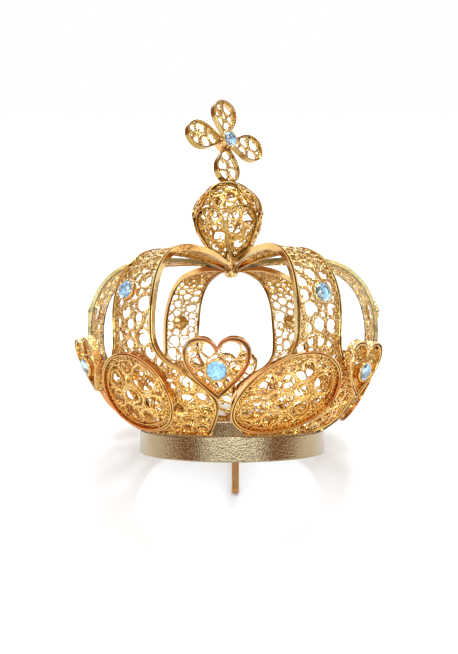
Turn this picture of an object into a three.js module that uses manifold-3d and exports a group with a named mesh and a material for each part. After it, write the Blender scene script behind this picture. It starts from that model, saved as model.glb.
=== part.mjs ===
// Gilt filigree crown for a statue, in millimetres, Z up.
//
// The crown is made in its own upright frame: the middle of the band's underside is at zero, the axis of
// the crown is Z and its front looks along -Y. A peg stands out below the band, so on a table the crown
// leans back on the tip of the peg and the back of the band. The last lines lean the whole crown that far
// and put the middle of its footprint at zero.

import * as THREE from 'three';
import { mergeVertices } from 'three/addons/utils/BufferGeometryUtils.js';
import Module from 'manifold-3d';

const solids = await Module();
solids.setup();

// Driving dimensions of the crown.
const SOLDER_GAP = 0.3;

// The pieces were set by hand and so a little uneven. Each sector has an arch with a stone, and a heart
// after it: the angles of the arch and of the heart from the crown's front, in degrees, how far the stone
// stands to the side and up from its usual place, how far up the heart stands, and how deep the petal is.
const SECTORS = [
  { arch: 30, stoneAside: 0, stoneUp: 0, heart: 49.2, heartUp: 0, petalDepth: 1.6 },
  { arch: 89.5, stoneAside: 0, stoneUp: 0, heart: 116.6, heartUp: 0, petalDepth: 0.5 },
  { arch: 149.5, stoneAside: 0, stoneUp: 0, heart: 177.5, heartUp: 0, petalDepth: 1.6 },
  { arch: 206, stoneAside: 0, stoneUp: 0, heart: 232.8, heartUp: 0, petalDepth: 1.6 },
  { arch: 265.5, stoneAside: 0, stoneUp: 0, heart: 298, heartUp: 1.4, petalDepth: 0.5 },
  { arch: 324, stoneAside: -1.2, stoneUp: 1, heart: 355.2, heartUp: 0, petalDepth: 1.6 },
];

const BAND_RADIUS = 24.8;
const BAND_WALL = 0.9;
const BAND_HEIGHT = 5.8;
const BAND_FACETS = 48;

const STRAP_WIDTH = 1.9;
const STRAP_THICKNESS = 0.6;
const STRAP_HEIGHT = 0.6;
const STRAP_ASIDE = 0.9;
const PEG_LENGTH = 11.5;
const PEG_HALF_DEPTH = 1.5;
const PEG_BEND_STEPS = 8;

const BELLY_RADIUS = 39.3;
const BELLY_HEIGHT = 33;
const SHOULDER_RADIUS = 24;
const CROWN_TOP = 52;
const CENTRE_RADIUS = 2.3;
const CENTRE_HEIGHT = 50.6;

// Where the profile of the arches leaves the band, and the points that pull its three curves, each a radius
// and a height: over the band, up to the belly, out of the belly, onto the shoulder and across the top.
const PROFILE_START = [BAND_RADIUS - 0.1, BAND_HEIGHT + SOLDER_GAP];
const PROFILE_PULLS = [
  [33, 9],
  [BELLY_RADIUS, 21],
  [BELLY_RADIUS, 44.5],
  [33, 51],
  [16, 52.9],
  [8, 52.5],
];

const ARCH_THICKNESS = 1.2;
const WEB_DROP = 0.45;
const RAIL_WIDTH = 1.1;
const RAIL_SHARE = 0.35;
const ARCH_STATIONS = 20;
const STATION_BIAS = 1.3;
const RIBBON_HALF_WIDTH = 6.3;
const LEAF_HALF_WIDTH = 18.2;

const PETAL_RIM = 1.0;
const PETAL_MIDDLE_SHARE = 0.55;
const PETAL_POINTS = 20;
const PETAL_HEIGHT_MIDDLE = 16.2;
const WIDE_PETAL = { middle: -5.7, halfWidth: 11.8, halfHeight: 10, slant: 0.3 };
const ROUND_PETAL = { middle: -1.6, halfWidth: 10.4, halfHeight: 10, slant: 0 };

const HEART_WIDTH = 14.6;
const HEART_CLEFT = 2.7;
const HEART_WEB = 0.7;
const HEART_RIM_DEPTH = 1.7;
const HEART_RIM_WIDTH = 1.1;
const HEART_TIP = { radius: 36.3, height: 15.2 };
const HEART_TOP = { radius: 40.6, height: 28.4 };
const HEART_HEIGHT = Math.hypot(
  HEART_TOP.radius - HEART_TIP.radius,
  HEART_TOP.height - HEART_TIP.height,
);

const STONE_RADIUS = 2.1;
const STONE_FACETS = 10;
const STONE_RISE = 0.7;
const GIRDLE_HALF_HEIGHT = 0.1;
const TABLE_SHARE = 0.55;
const BEZEL_RADIUS = 2.6;
const BEZEL_HEIGHT = 1.3;
const BEZEL_FLOOR = 0.4;
const ARCH_STONE_HEIGHT = 38.2;
const HEART_STONE_HEIGHT = 6.8;

const ORB_RADIUS = 9.95;
const ORB_MIDDLE = 64.3;
const ORB_FACETS = 20;
const ORB_STEPS = 9;
const ORB_LOWEST_LATITUDE = -32;
const ORB_NECK = { radius: 6.2, height: 55 };
const STEM_RADIUS = 1.5;
const RIVET_RADIUS = 2;
const RIVET_HEIGHT = 47.4;
const RIVET_THICKNESS = 1.8;

const CROSS_ARM = 12.4;
const CROSS_SIDE_ARM = 13.1;
const CROSS_PETAL_WIDTH = 7.9;
const CROSS_RIM = 0.9;
const CROSS_WEB = 0.8;
const CROSS_DEPTH = 2.1;
const BOSS_RADIUS = 2.4;
const BOSS_BACK = 3.2;
const BOSS_FRONT = 1;
const BOSS_TAPER = 0.8;
const ARM_START = 1;
const ARM_START_HALF_WIDTH = 0.3;
const CROSS_YAW = THREE.MathUtils.degToRad(36.5);
const CROSS_LEAN_BACK = THREE.MathUtils.degToRad(5);
const FINIAL_LEAN = THREE.MathUtils.degToRad(-3.4);
const FINIAL_ASIDE = -0.4;
const CROSS_ASIDE = 0.5;

const RIM_FLAT_DEPTH = 0.2;
const PEG_FLAT_DEPTH = 0.08;

// How many steps each curve of a heart and of a cross arm has, and how often a search halves its range.
const HEART_CURVE_STEPS = 4;
const ARM_CURVE_STEPS = 3;
const SEARCH_STEPS = 40;

// How far the crown leans back when the flat on its rim and the flat on its peg both touch the table.
const PEG_BEND_DROP = PEG_LENGTH - PEG_HALF_DEPTH;
const REST_LEAN =
  Math.atan2(PEG_BEND_DROP, BAND_RADIUS) +
  Math.asin(
    (PEG_HALF_DEPTH - PEG_FLAT_DEPTH + RIM_FLAT_DEPTH) / Math.hypot(BAND_RADIUS, PEG_BEND_DROP),
  );
const REST_DROP = BAND_RADIUS * Math.sin(REST_LEAN) - RIM_FLAT_DEPTH;

// Colours of the gilding and of the stones.
const GILT_WIRE = new THREE.MeshStandardMaterial({ color: 0xe0a63c, roughness: 0.25, metalness: 1 });
const GILT_SHEET = new THREE.MeshStandardMaterial({ color: 0xc9a468, roughness: 0.35, metalness: 1 });
const BLUE_STONE = new THREE.MeshStandardMaterial({ color: 0x6fb4e6, roughness: 0.05, metalness: 0 });

const crown = new THREE.Group();

// Adds one named piece to the crown, or to a turned group inside it.
function addPiece(name, geometry, material, holder = crown) {
  const piece = new THREE.Mesh(geometry, material);
  piece.name = name;
  holder.add(piece);
}

// A closed mesh as a solid that can be joined and cut.
function toSolid(geometry) {
  const bare = geometry.clone();
  bare.deleteAttribute('normal');
  bare.deleteAttribute('uv');
  const merged = mergeVertices(bare, 1e-4);
  return new solids.Manifold(
    new solids.Mesh({
      numProp: 3,
      vertProperties: new Float32Array(merged.attributes.position.array),
      triVerts: new Uint32Array(merged.index.array),
    }),
  );
}

function toGeometry(solid) {
  const mesh = solid.getMesh();
  const geometry = new THREE.BufferGeometry();
  geometry.setAttribute('position', new THREE.BufferAttribute(new Float32Array(mesh.vertProperties), 3));
  geometry.setIndex(new THREE.BufferAttribute(new Uint32Array(mesh.triVerts), 1));
  return geometry;
}

// A mesh from points and faces, each face a list of three or more point numbers.
function meshOf(points, faces) {
  const geometry = new THREE.BufferGeometry().setFromPoints(points);
  const triangles = [];
  for (const face of faces) {
    for (let k = 1; k + 1 < face.length; k += 1) {
      triangles.push(face[0], face[k], face[k + 1]);
    }
  }
  geometry.setIndex(triangles);
  return geometry;
}

// Takes off what would reach below the table once the crown leans on its peg and rim.
function trimToTable(geometry) {
  const size = 4 * BAND_RADIUS;
  const below = new THREE.BoxGeometry(size, size, size);
  below.translate(0, 0, -size / 2 - REST_DROP);
  below.rotateX(REST_LEAN);
  return toGeometry(toSolid(geometry).subtract(toSolid(below)));
}

// The side profile of the arches, from the band over the belly to the middle of the top.
const profileCorners = [
  PROFILE_START,
  PROFILE_PULLS[0],
  PROFILE_PULLS[1],
  [BELLY_RADIUS, BELLY_HEIGHT],
  PROFILE_PULLS[2],
  PROFILE_PULLS[3],
  [SHOULDER_RADIUS, CROWN_TOP],
  PROFILE_PULLS[4],
  PROFILE_PULLS[5],
  [CENTRE_RADIUS, CENTRE_HEIGHT],
].map(([radius, height]) => new THREE.Vector2(radius, height));
const profile = new THREE.CurvePath();
for (let k = 0; k + 3 < profileCorners.length; k += 3) {
  profile.add(new THREE.CubicBezierCurve(...profileCorners.slice(k, k + 4)));
}
const PROFILE_LENGTH = profile.getLength();

// A point and the outward normal of the profile, at a distance along it from the band.
function profileAt(distance) {
  const share = THREE.MathUtils.clamp(distance / PROFILE_LENGTH, 0, 1);
  const point = profile.getPointAt(share);
  const tangent = profile.getTangentAt(share);
  return { radius: point.x, height: point.y, normal: new THREE.Vector2(tangent.y, -tangent.x) };
}

// The value from zero to an end at which a rising function reaches a target.
function whereItReaches(rising, target, end) {
  let low = 0;
  let high = end;
  for (let k = 0; k < SEARCH_STEPS; k += 1) {
    const middle = (low + high) / 2;
    if (rising(middle) < target) {
      low = middle;
    } else {
      high = middle;
    }
  }
  return low;
}

// The distance along the profile at which it first reaches a height.
function distanceAtHeight(height) {
  return whereItReaches((distance) => profileAt(distance).height, height, PROFILE_LENGTH / 2);
}

// A point of the crown's round wall: along the profile, sideways from the meridian, and lifted outward.
function wallPoint(meridian, distance, sideways, lift) {
  const { radius, height, normal } = profileAt(distance);
  const angle = meridian + sideways / radius;
  const reach = radius + lift * normal.x;
  return new THREE.Vector3(
    reach * Math.sin(angle),
    -reach * Math.cos(angle),
    height + lift * normal.y,
  );
}

// Half the width of an arch along the profile: a broad leaf on the band that narrows to a ribbon.
const archOutline = new THREE.SplineCurve([
  new THREE.Vector2(0, 10),
  new THREE.Vector2(6.3, 15.1),
  new THREE.Vector2(12.8, LEAF_HALF_WIDTH),
  new THREE.Vector2(18.5, 14.3),
  new THREE.Vector2(22.5, 8.8),
  new THREE.Vector2(26.5, RIBBON_HALF_WIDTH + 0.2),
  new THREE.Vector2(32, RIBBON_HALF_WIDTH),
  new THREE.Vector2(40, RIBBON_HALF_WIDTH),
  new THREE.Vector2(57, 5.1),
  new THREE.Vector2(PROFILE_LENGTH - 12, 3.5),
  new THREE.Vector2(PROFILE_LENGTH, 1),
]);

function archHalfWidth(distance, gapToNeighbour) {
  const place = whereItReaches((share) => archOutline.getPoint(share).x, distance, 1);
  const roomToNeighbour = profileAt(distance).radius * (gapToNeighbour / 2) - SOLDER_GAP / 2;
  return Math.min(archOutline.getPoint(place).y, roomToNeighbour);
}

function archMeridian(number) {
  return THREE.MathUtils.degToRad(SECTORS[number % SECTORS.length].arch);
}

// The angle from one arch to the next one round the crown.
function gapAfter(number) {
  const turn = archMeridian(number + 1) - archMeridian(number);
  return THREE.MathUtils.euclideanModulo(turn, 2 * Math.PI);
}

// One arch: a leaf and a ribbon in one, a thin web between two raised rails.
function archGeometry(number) {
  const points = [];
  let ring = [];
  for (let k = 0; k <= ARCH_STATIONS; k += 1) {
    const distance = PROFILE_LENGTH * (k / ARCH_STATIONS) ** STATION_BIAS;
    const left = archHalfWidth(distance, gapAfter(number + SECTORS.length - 1));
    const right = archHalfWidth(distance, gapAfter(number));
    const rail = Math.min(RAIL_WIDTH, left * RAIL_SHARE);
    const webLeft = left - rail;
    const webRight = right - rail;
    ring = [
      [-left, 0], [-webLeft, 0], [-webLeft, -WEB_DROP], [-webLeft / 2, -WEB_DROP], [0, -WEB_DROP],
      [webRight / 2, -WEB_DROP], [webRight, -WEB_DROP], [webRight, 0], [right, 0],
      [right, -ARCH_THICKNESS], [right / 2, -ARCH_THICKNESS], [0, -ARCH_THICKNESS],
      [-left / 2, -ARCH_THICKNESS], [-left, -ARCH_THICKNESS],
    ];
    for (const [sideways, lift] of ring) {
      points.push(wallPoint(archMeridian(number), distance, sideways, lift));
    }
  }
  const count = ring.length;
  const faces = [];
  for (let k = 0; k < ARCH_STATIONS; k += 1) {
    for (let j = 0; j < count; j += 1) {
      const a = k * count + j;
      const b = k * count + ((j + 1) % count);
      faces.push([a, b, b + count, a + count]);
    }
  }
  const section = ring.map(([x, y]) => new THREE.Vector2(x, y));
  for (const [a, b, c] of THREE.ShapeUtils.triangulateShape(section, [])) {
    const top = ARCH_STATIONS * count;
    faces.push([a, b, c], [top + a, top + c, top + b]);
  }
  return outward(meshOf(points, faces));
}

// Turns a closed mesh's faces outward if they all point inward.
function outward(geometry) {
  const solid = toSolid(geometry);
  if (solid.volume() > 0) return geometry;
  const index = geometry.index.array;
  for (let k = 0; k < index.length; k += 3) {
    [index[k], index[k + 1]] = [index[k + 1], index[k]];
  }
  return geometry;
}

// One oval petal, a shallow dish with a raised rim that stands on the leaf of an arch.
function petalGeometry(meridian, depth, { middle, halfWidth, halfHeight, slant }) {
  const centre = distanceAtHeight(PETAL_HEIGHT_MIDDLE);
  const innerInset = halfWidth * PETAL_MIDDLE_SHARE;
  const levels = [
    { inset: innerInset, lift: SOLDER_GAP },
    { inset: 0, lift: SOLDER_GAP },
    { inset: 0, lift: SOLDER_GAP + depth },
    { inset: PETAL_RIM, lift: SOLDER_GAP + depth },
    { inset: PETAL_RIM, lift: SOLDER_GAP + depth / 2 },
    { inset: innerInset, lift: SOLDER_GAP + depth / 2 },
  ];
  const points = [];
  for (const { inset, lift } of levels) {
    for (let k = 0; k < PETAL_POINTS; k += 1) {
      const turn = (2 * Math.PI * k) / PETAL_POINTS;
      const up = (halfHeight - inset * (halfHeight / halfWidth)) * Math.sin(turn);
      const across = (halfWidth - inset) * Math.cos(turn) + slant * up;
      points.push(wallPoint(meridian, centre + up, middle + across, lift));
    }
  }
  const faces = [];
  for (let level = 0; level + 1 < levels.length; level += 1) {
    for (let k = 0; k < PETAL_POINTS; k += 1) {
      const a = level * PETAL_POINTS + k;
      const b = level * PETAL_POINTS + ((k + 1) % PETAL_POINTS);
      faces.push([a, b, b + PETAL_POINTS, a + PETAL_POINTS]);
    }
  }
  const back = points.push(wallPoint(meridian, centre, middle, levels[0].lift)) - 1;
  const front = points.push(wallPoint(meridian, centre, middle, levels.at(-1).lift)) - 1;
  const last = (levels.length - 1) * PETAL_POINTS;
  for (let k = 0; k < PETAL_POINTS; k += 1) {
    const next = (k + 1) % PETAL_POINTS;
    faces.push([back, next, k], [front, last + k, last + next]);
  }
  return outward(meshOf(points, faces));
}

// A heart, its tip at zero and its cleft at the top, made smaller all round by an inset. The curves are
// drawn in shares of its half width and of its height.
function heartShape(inset = 0) {
  const half = HEART_WIDTH / 2 - inset;
  const top = HEART_HEIGHT - inset;
  const tip = inset * 1.6;
  const cleft = HEART_HEIGHT - HEART_CLEFT - inset * 1.5;
  const shape = new THREE.Shape();
  shape.moveTo(0, tip);
  shape.bezierCurveTo(half * 0.36, tip + top * 0.17, half, top * 0.47, half, top * 0.75);
  shape.bezierCurveTo(half, top * 0.92, half * 0.76, top, half * 0.5, top);
  shape.bezierCurveTo(half * 0.25, top, half * 0.06, top * 0.93, 0, cleft);
  shape.bezierCurveTo(-half * 0.06, top * 0.93, -half * 0.25, top, -half * 0.5, top);
  shape.bezierCurveTo(-half * 0.76, top, -half, top * 0.92, -half, top * 0.75);
  shape.bezierCurveTo(-half, top * 0.47, -half * 0.36, tip + top * 0.17, 0, tip);
  return shape;
}

// A heart is a thin web inside a deeper rim.
function heartGeometry() {
  const rimShape = heartShape();
  rimShape.holes.push(heartShape(HEART_RIM_WIDTH));
  const rim = new THREE.ExtrudeGeometry(rimShape, {
    depth: HEART_RIM_DEPTH,
    bevelEnabled: false,
    curveSegments: HEART_CURVE_STEPS,
  });
  const web = new THREE.ExtrudeGeometry(heartShape(HEART_RIM_WIDTH / 2), {
    depth: HEART_WEB,
    bevelEnabled: false,
    curveSegments: HEART_CURVE_STEPS,
  });
  return toGeometry(toSolid(rim).add(toSolid(web)));
}

// A stone and the round setting that holds it, both standing on zero and facing Z.
function settingGeometry() {
  const inside = STONE_RADIUS + SOLDER_GAP;
  return new THREE.LatheGeometry(
    [
      new THREE.Vector2(0, 0),
      new THREE.Vector2(BEZEL_RADIUS, 0),
      new THREE.Vector2(BEZEL_RADIUS, BEZEL_HEIGHT),
      new THREE.Vector2(inside, BEZEL_HEIGHT),
      new THREE.Vector2(inside, BEZEL_FLOOR),
      new THREE.Vector2(0, BEZEL_FLOOR),
    ],
    STONE_FACETS,
  ).rotateX(Math.PI / 2);
}

function stoneGeometry() {
  const girdle = BEZEL_HEIGHT;
  return new THREE.LatheGeometry(
    [
      new THREE.Vector2(0, BEZEL_FLOOR + SOLDER_GAP),
      new THREE.Vector2(STONE_RADIUS, girdle - GIRDLE_HALF_HEIGHT),
      new THREE.Vector2(STONE_RADIUS, girdle + GIRDLE_HALF_HEIGHT),
      new THREE.Vector2(STONE_RADIUS * TABLE_SHARE, girdle + STONE_RISE),
      new THREE.Vector2(0, girdle + STONE_RISE),
    ],
    STONE_FACETS,
  ).rotateX(Math.PI / 2);
}

// Puts a setting and its stone in a group, at a point and facing along a direction.
function addSettingAndStone(name, point, facing, holder = crown) {
  const seat = new THREE.Group();
  seat.position.copy(point);
  seat.quaternion.setFromUnitVectors(new THREE.Vector3(0, 0, 1), facing.clone().normalize());
  addPiece(`${name}_setting`, settingGeometry(), GILT_WIRE, seat);
  addPiece(`${name}_stone`, stoneGeometry(), BLUE_STONE, seat);
  holder.add(seat);
}

// The direction out of the crown's wall at a meridian and a distance along the profile.
function wallNormal(meridian, distance) {
  const { normal } = profileAt(distance);
  return new THREE.Vector3(
    normal.x * Math.sin(meridian),
    -normal.x * Math.cos(meridian),
    normal.y,
  );
}

function addBand() {
  const inner = BAND_RADIUS - BAND_WALL;
  const ring = new THREE.LatheGeometry(
    [
      new THREE.Vector2(inner, 0),
      new THREE.Vector2(BAND_RADIUS, 0),
      new THREE.Vector2(BAND_RADIUS, BAND_HEIGHT),
      new THREE.Vector2(inner, BAND_HEIGHT),
      new THREE.Vector2(inner, 0),
    ],
    BAND_FACETS,
  ).rotateX(Math.PI / 2);
  addPiece('band', trimToTable(outward(ring)), GILT_SHEET);
}

// The peg: one strip across the band, folded down in the middle into a hairpin.
function addPeg() {
  const farSide = STRAP_ASIDE + STRAP_WIDTH / 2;
  const reach = Math.sqrt((BAND_RADIUS - BAND_WALL) ** 2 - farSide ** 2) - SOLDER_GAP;
  const top = STRAP_HEIGHT + STRAP_THICKNESS;
  const inside = PEG_HALF_DEPTH - STRAP_THICKNESS;
  const outline = new THREE.Shape();
  outline.moveTo(-reach, STRAP_HEIGHT);
  outline.lineTo(-PEG_HALF_DEPTH, STRAP_HEIGHT);
  outline.absarc(0, -PEG_BEND_DROP, PEG_HALF_DEPTH, Math.PI, 2 * Math.PI, false);
  outline.lineTo(PEG_HALF_DEPTH, STRAP_HEIGHT);
  outline.lineTo(reach, STRAP_HEIGHT);
  outline.lineTo(reach, top);
  outline.lineTo(inside, top);
  outline.absarc(0, -PEG_BEND_DROP, inside, 0, Math.PI, true);
  outline.lineTo(-inside, top);
  outline.lineTo(-reach, top);
  const strip = new THREE.ExtrudeGeometry(outline, {
    depth: STRAP_WIDTH,
    bevelEnabled: false,
    curveSegments: PEG_BEND_STEPS,
  });
  strip.translate(0, 0, -STRAP_WIDTH / 2);
  strip.rotateX(Math.PI / 2);
  strip.rotateZ(Math.PI / 2);
  strip.translate(STRAP_ASIDE, 0, 0);
  addPiece('peg', trimToTable(strip), GILT_SHEET);
}

function addArches() {
  SECTORS.forEach(({ stoneAside, stoneUp }, k) => {
    const name = `arch_${k + 1}`;
    addPiece(name, archGeometry(k), GILT_WIRE);
    const distance = distanceAtHeight(ARCH_STONE_HEIGHT + stoneUp);
    const meridian = archMeridian(k);
    const seat = wallPoint(meridian, distance, stoneAside, SOLDER_GAP - WEB_DROP);
    addSettingAndStone(name, seat, wallNormal(meridian, distance));
  });
}

function addPetals() {
  SECTORS.forEach(({ petalDepth }, k) => {
    const kind = k % 2 === 0 ? WIDE_PETAL : ROUND_PETAL;
    addPiece(`petal_${k + 1}`, petalGeometry(archMeridian(k), petalDepth, kind), GILT_WIRE);
  });
}

// Hearts stand in the gaps between the arches and lean outward.
function addHearts() {
  const leanOut = Math.atan2(HEART_TOP.radius - HEART_TIP.radius, HEART_TOP.height - HEART_TIP.height);
  SECTORS.forEach(({ heart, heartUp }, k) => {
    const name = `heart_${k + 1}`;
    const turned = new THREE.Group();
    turned.rotation.z = THREE.MathUtils.degToRad(heart);
    const leaning = new THREE.Group();
    leaning.position.set(0, -HEART_TIP.radius, HEART_TIP.height + heartUp);
    leaning.rotation.x = Math.PI / 2 + leanOut;
    turned.add(leaning);
    crown.add(turned);
    addPiece(name, heartGeometry(), GILT_WIRE, leaning);
    const seat = new THREE.Vector3(0, HEART_STONE_HEIGHT, HEART_WEB + SOLDER_GAP);
    addSettingAndStone(name, seat, new THREE.Vector3(0, 0, 1), leaning);
  });
}

// The orb, with the stem and rivet that hold it through the middle of the arches.
function addOrb(holder) {
  const outline = [
    new THREE.Vector2(0, RIVET_HEIGHT),
    new THREE.Vector2(RIVET_RADIUS * 0.8, RIVET_HEIGHT + RIVET_THICKNESS / 6),
    new THREE.Vector2(RIVET_RADIUS, RIVET_HEIGHT + (RIVET_THICKNESS * 2) / 3),
    new THREE.Vector2(STEM_RADIUS, RIVET_HEIGHT + RIVET_THICKNESS),
    new THREE.Vector2(STEM_RADIUS, CROWN_TOP),
    new THREE.Vector2(ORB_NECK.radius, ORB_NECK.height),
  ];
  for (let k = 0; k < ORB_STEPS; k += 1) {
    const latitude = ORB_LOWEST_LATITUDE + ((90 - ORB_LOWEST_LATITUDE) * k) / ORB_STEPS;
    const rise = THREE.MathUtils.degToRad(latitude);
    outline.push(
      new THREE.Vector2(ORB_RADIUS * Math.cos(rise), ORB_MIDDLE + ORB_RADIUS * Math.sin(rise)),
    );
  }
  outline.push(new THREE.Vector2(0, ORB_MIDDLE + ORB_RADIUS));
  const orb = new THREE.LatheGeometry(outline, ORB_FACETS).rotateX(Math.PI / 2);
  orb.translate(0, 0, -CROWN_TOP);
  addPiece('orb', outward(orb), GILT_WIRE, holder);
}

// The outline of one arm of the cross, a teardrop with its point in the middle, made smaller by an inset.
function crossArmShape(reach, inset) {
  const half = CROSS_PETAL_WIDTH / 2 - inset;
  const length = reach - inset;
  const start = ARM_START + inset * 3;
  const arm = new THREE.Shape();
  arm.moveTo(ARM_START_HALF_WIDTH, start);
  arm.bezierCurveTo(half * 0.6, length * 0.36, half, length * 0.5, half, length * 0.68);
  arm.bezierCurveTo(half, length * 0.88, half * 0.55, length, 0, length);
  arm.bezierCurveTo(-half * 0.55, length, -half, length * 0.88, -half, length * 0.68);
  arm.bezierCurveTo(-half, length * 0.5, -half * 0.6, length * 0.36, -ARM_START_HALF_WIDTH, start);
  return arm;
}

// One arm: a thin web in the middle of a deeper rim.
function crossArm(reach) {
  const rimShape = crossArmShape(reach, 0);
  rimShape.holes.push(crossArmShape(reach, CROSS_RIM));
  const rim = new THREE.ExtrudeGeometry(rimShape, {
    depth: CROSS_DEPTH,
    bevelEnabled: false,
    curveSegments: ARM_CURVE_STEPS,
  });
  const web = new THREE.ExtrudeGeometry(crossArmShape(reach, CROSS_RIM / 2), {
    depth: CROSS_WEB,
    bevelEnabled: false,
    curveSegments: ARM_CURVE_STEPS,
  });
  rim.translate(0, 0, -CROSS_DEPTH / 2);
  web.translate(0, 0, -CROSS_WEB / 2);
  return toSolid(rim).add(toSolid(web));
}

// The cross stands on the leaning orb, upright across but turned to one side and leaning back.
function addCross(holder) {
  const boss = new THREE.CylinderGeometry(
    BOSS_RADIUS,
    BOSS_RADIUS * BOSS_TAPER,
    BOSS_BACK + BOSS_FRONT,
    STONE_FACETS,
  );
  boss.rotateX(Math.PI / 2).translate(0, 0, (BOSS_FRONT - BOSS_BACK) / 2);
  let cross = toSolid(boss);
  [CROSS_ARM, CROSS_SIDE_ARM, CROSS_ARM, CROSS_SIDE_ARM].forEach((reach, k) => {
    cross = cross.add(crossArm(reach).rotate([0, 0, 90 * k]));
  });
  const foot = new THREE.Group();
  foot.position.set(CROSS_ASIDE, 0, ORB_MIDDLE + ORB_RADIUS + SOLDER_GAP - CROWN_TOP);
  foot.rotation.y = -FINIAL_LEAN;
  const turned = new THREE.Group();
  turned.rotation.z = CROSS_YAW;
  const standing = new THREE.Group();
  standing.rotation.x = Math.PI / 2 - CROSS_LEAN_BACK;
  const middle = new THREE.Group();
  middle.position.y = CROSS_ARM;
  holder.add(foot);
  foot.add(turned);
  turned.add(standing);
  standing.add(middle);
  addPiece('cross', toGeometry(cross), GILT_WIRE, middle);
  const seat = new THREE.Vector3(0, 0, BOSS_FRONT + SOLDER_GAP);
  addSettingAndStone('cross', seat, new THREE.Vector3(0, 0, 1), middle);
}

// The orb leans a little to one side, as it was soldered.
function addFinial() {
  const finial = new THREE.Group();
  finial.position.set(FINIAL_ASIDE, 0, CROWN_TOP);
  finial.rotation.y = FINIAL_LEAN;
  crown.add(finial);
  addOrb(finial);
  addCross(finial);
}

addBand();
addPeg();
addArches();
addPetals();
addHearts();
addFinial();

// At rest the crown leans back, and the middle of its footprint on the table is at zero.
crown.rotation.x = -REST_LEAN;
crown.updateMatrixWorld(true);
const footprint = new THREE.Box3().setFromObject(crown, true).getCenter(new THREE.Vector3());
crown.position.set(-footprint.x, -footprint.y, REST_DROP);

const statueCrown = new THREE.Group();
statueCrown.add(crown);

export default statueCrown;
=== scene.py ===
# %% [markdown]
# A gilt filigree crown, made for a small statue.
#
# Filigree is lace made of metal. The maker bends flat wire into frames, fills each frame with small curls
# that touch one another, and solders every touching place. This lesson builds the crown in the same order:
# first the wires, flat on the bench, and then each flat piece of lace is bent over the crown's round form.
# Geometry Nodes make the wires, because there are more than a thousand curls, and short formulas bend them.

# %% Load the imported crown
import math

import bpy
import numpy as np
from mathutils import Matrix, Vector


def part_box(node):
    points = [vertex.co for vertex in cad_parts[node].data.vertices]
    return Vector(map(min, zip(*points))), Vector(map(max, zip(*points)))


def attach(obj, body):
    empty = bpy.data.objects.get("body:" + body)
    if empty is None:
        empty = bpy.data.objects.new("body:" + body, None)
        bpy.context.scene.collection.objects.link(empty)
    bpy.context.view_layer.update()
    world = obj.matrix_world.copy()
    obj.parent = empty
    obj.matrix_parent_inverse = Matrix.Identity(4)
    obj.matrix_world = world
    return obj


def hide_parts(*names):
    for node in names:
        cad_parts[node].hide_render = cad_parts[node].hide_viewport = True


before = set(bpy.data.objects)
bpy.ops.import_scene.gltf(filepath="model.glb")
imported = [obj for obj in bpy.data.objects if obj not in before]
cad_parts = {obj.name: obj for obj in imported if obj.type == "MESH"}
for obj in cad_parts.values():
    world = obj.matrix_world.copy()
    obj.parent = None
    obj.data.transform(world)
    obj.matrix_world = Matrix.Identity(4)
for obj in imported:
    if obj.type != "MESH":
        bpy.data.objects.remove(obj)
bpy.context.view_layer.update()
print("solids in the frame:", len(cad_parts))

# %% [markdown]
# The crown can't stand upright, because a peg for the statue's head reaches below its band. It leans back on
# the tip of the peg and the back of the band. Everything here is worked out upright and in millimetres, with
# the middle of the band's underside at zero, and laid back on the table at the end by one function.

# %% The crown's upright frame and how it leans
BAND_RADIUS, BAND_WALL, BAND_HEIGHT = 24.8, 0.9, 5.8
PEG_LENGTH, PEG_HALF_DEPTH = 11.5, 1.5
PEG_BEND_DROP = PEG_LENGTH - PEG_HALF_DEPTH
RIM_FLAT_DEPTH, PEG_FLAT_DEPTH = 0.2, 0.08
REST_LEAN = math.atan2(PEG_BEND_DROP, BAND_RADIUS) + math.asin(
    (PEG_HALF_DEPTH - PEG_FLAT_DEPTH + RIM_FLAT_DEPTH) / math.hypot(BAND_RADIUS, PEG_BEND_DROP))
band_low, band_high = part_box("band")
LEANING = Matrix.Rotation(-REST_LEAN, 3, "X")
band_back_top = LEANING @ Vector((0, BAND_RADIUS, BAND_HEIGHT))
STAND = Vector((
    500 * (band_low.x + band_high.x),
    1000 * band_high.y - band_back_top.y,
    BAND_RADIUS * math.sin(REST_LEAN) - RIM_FLAT_DEPTH,
))
print("lean in degrees:", round(math.degrees(REST_LEAN), 2), "stands at", [round(v, 2) for v in STAND])


def on_table(points):
    """Upright points in millimetres, leaned back and stood on the table, in metres."""
    laid = np.asarray(points, float) @ np.array(LEANING).T + np.array(STAND)
    laid[:, 2] = np.maximum(laid[:, 2], 0)
    return laid / 1000


# %% [markdown]
# The arches follow one side profile: out from the band over a round belly, up to the shoulder, and in across
# the top. Three Bezier curves give it, and a table of points along it turns a distance into a place. A
# thousand small steps are finer than any wire, so plain interpolation between them is good enough.

# %% The crown's profile
BELLY_RADIUS, BELLY_HEIGHT, SHOULDER_RADIUS, CROWN_TOP, CENTRE_RADIUS = 39.3, 33, 24, 52, 2.3
SOLDER_GAP, CURVE_STEPS = 0.3, 400
BELLY, SHOULDER = (BELLY_RADIUS, BELLY_HEIGHT), (SHOULDER_RADIUS, CROWN_TOP)
# Each curve has its start, two points that pull it, and its end, all given by radius and height.
PROFILE_CURVES = [
    [(BAND_RADIUS - 0.1, BAND_HEIGHT + SOLDER_GAP), (33, 9), (BELLY_RADIUS, 21), BELLY],
    [BELLY, (BELLY_RADIUS, 44.5), (33, 51), SHOULDER],
    [SHOULDER, (16, 52.9), (8, 52.5), (CENTRE_RADIUS, 50.6)],
]


def bezier(corners, steps, end=True):
    """Points along a cubic Bezier curve."""
    t = np.linspace(0, 1, steps, endpoint=end)[:, None]
    a, b, c, d = (np.array(corner, float) for corner in corners)
    return a * (1 - t) ** 3 + 3 * b * t * (1 - t) ** 2 + 3 * c * t * t * (1 - t) + d * t ** 3


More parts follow.
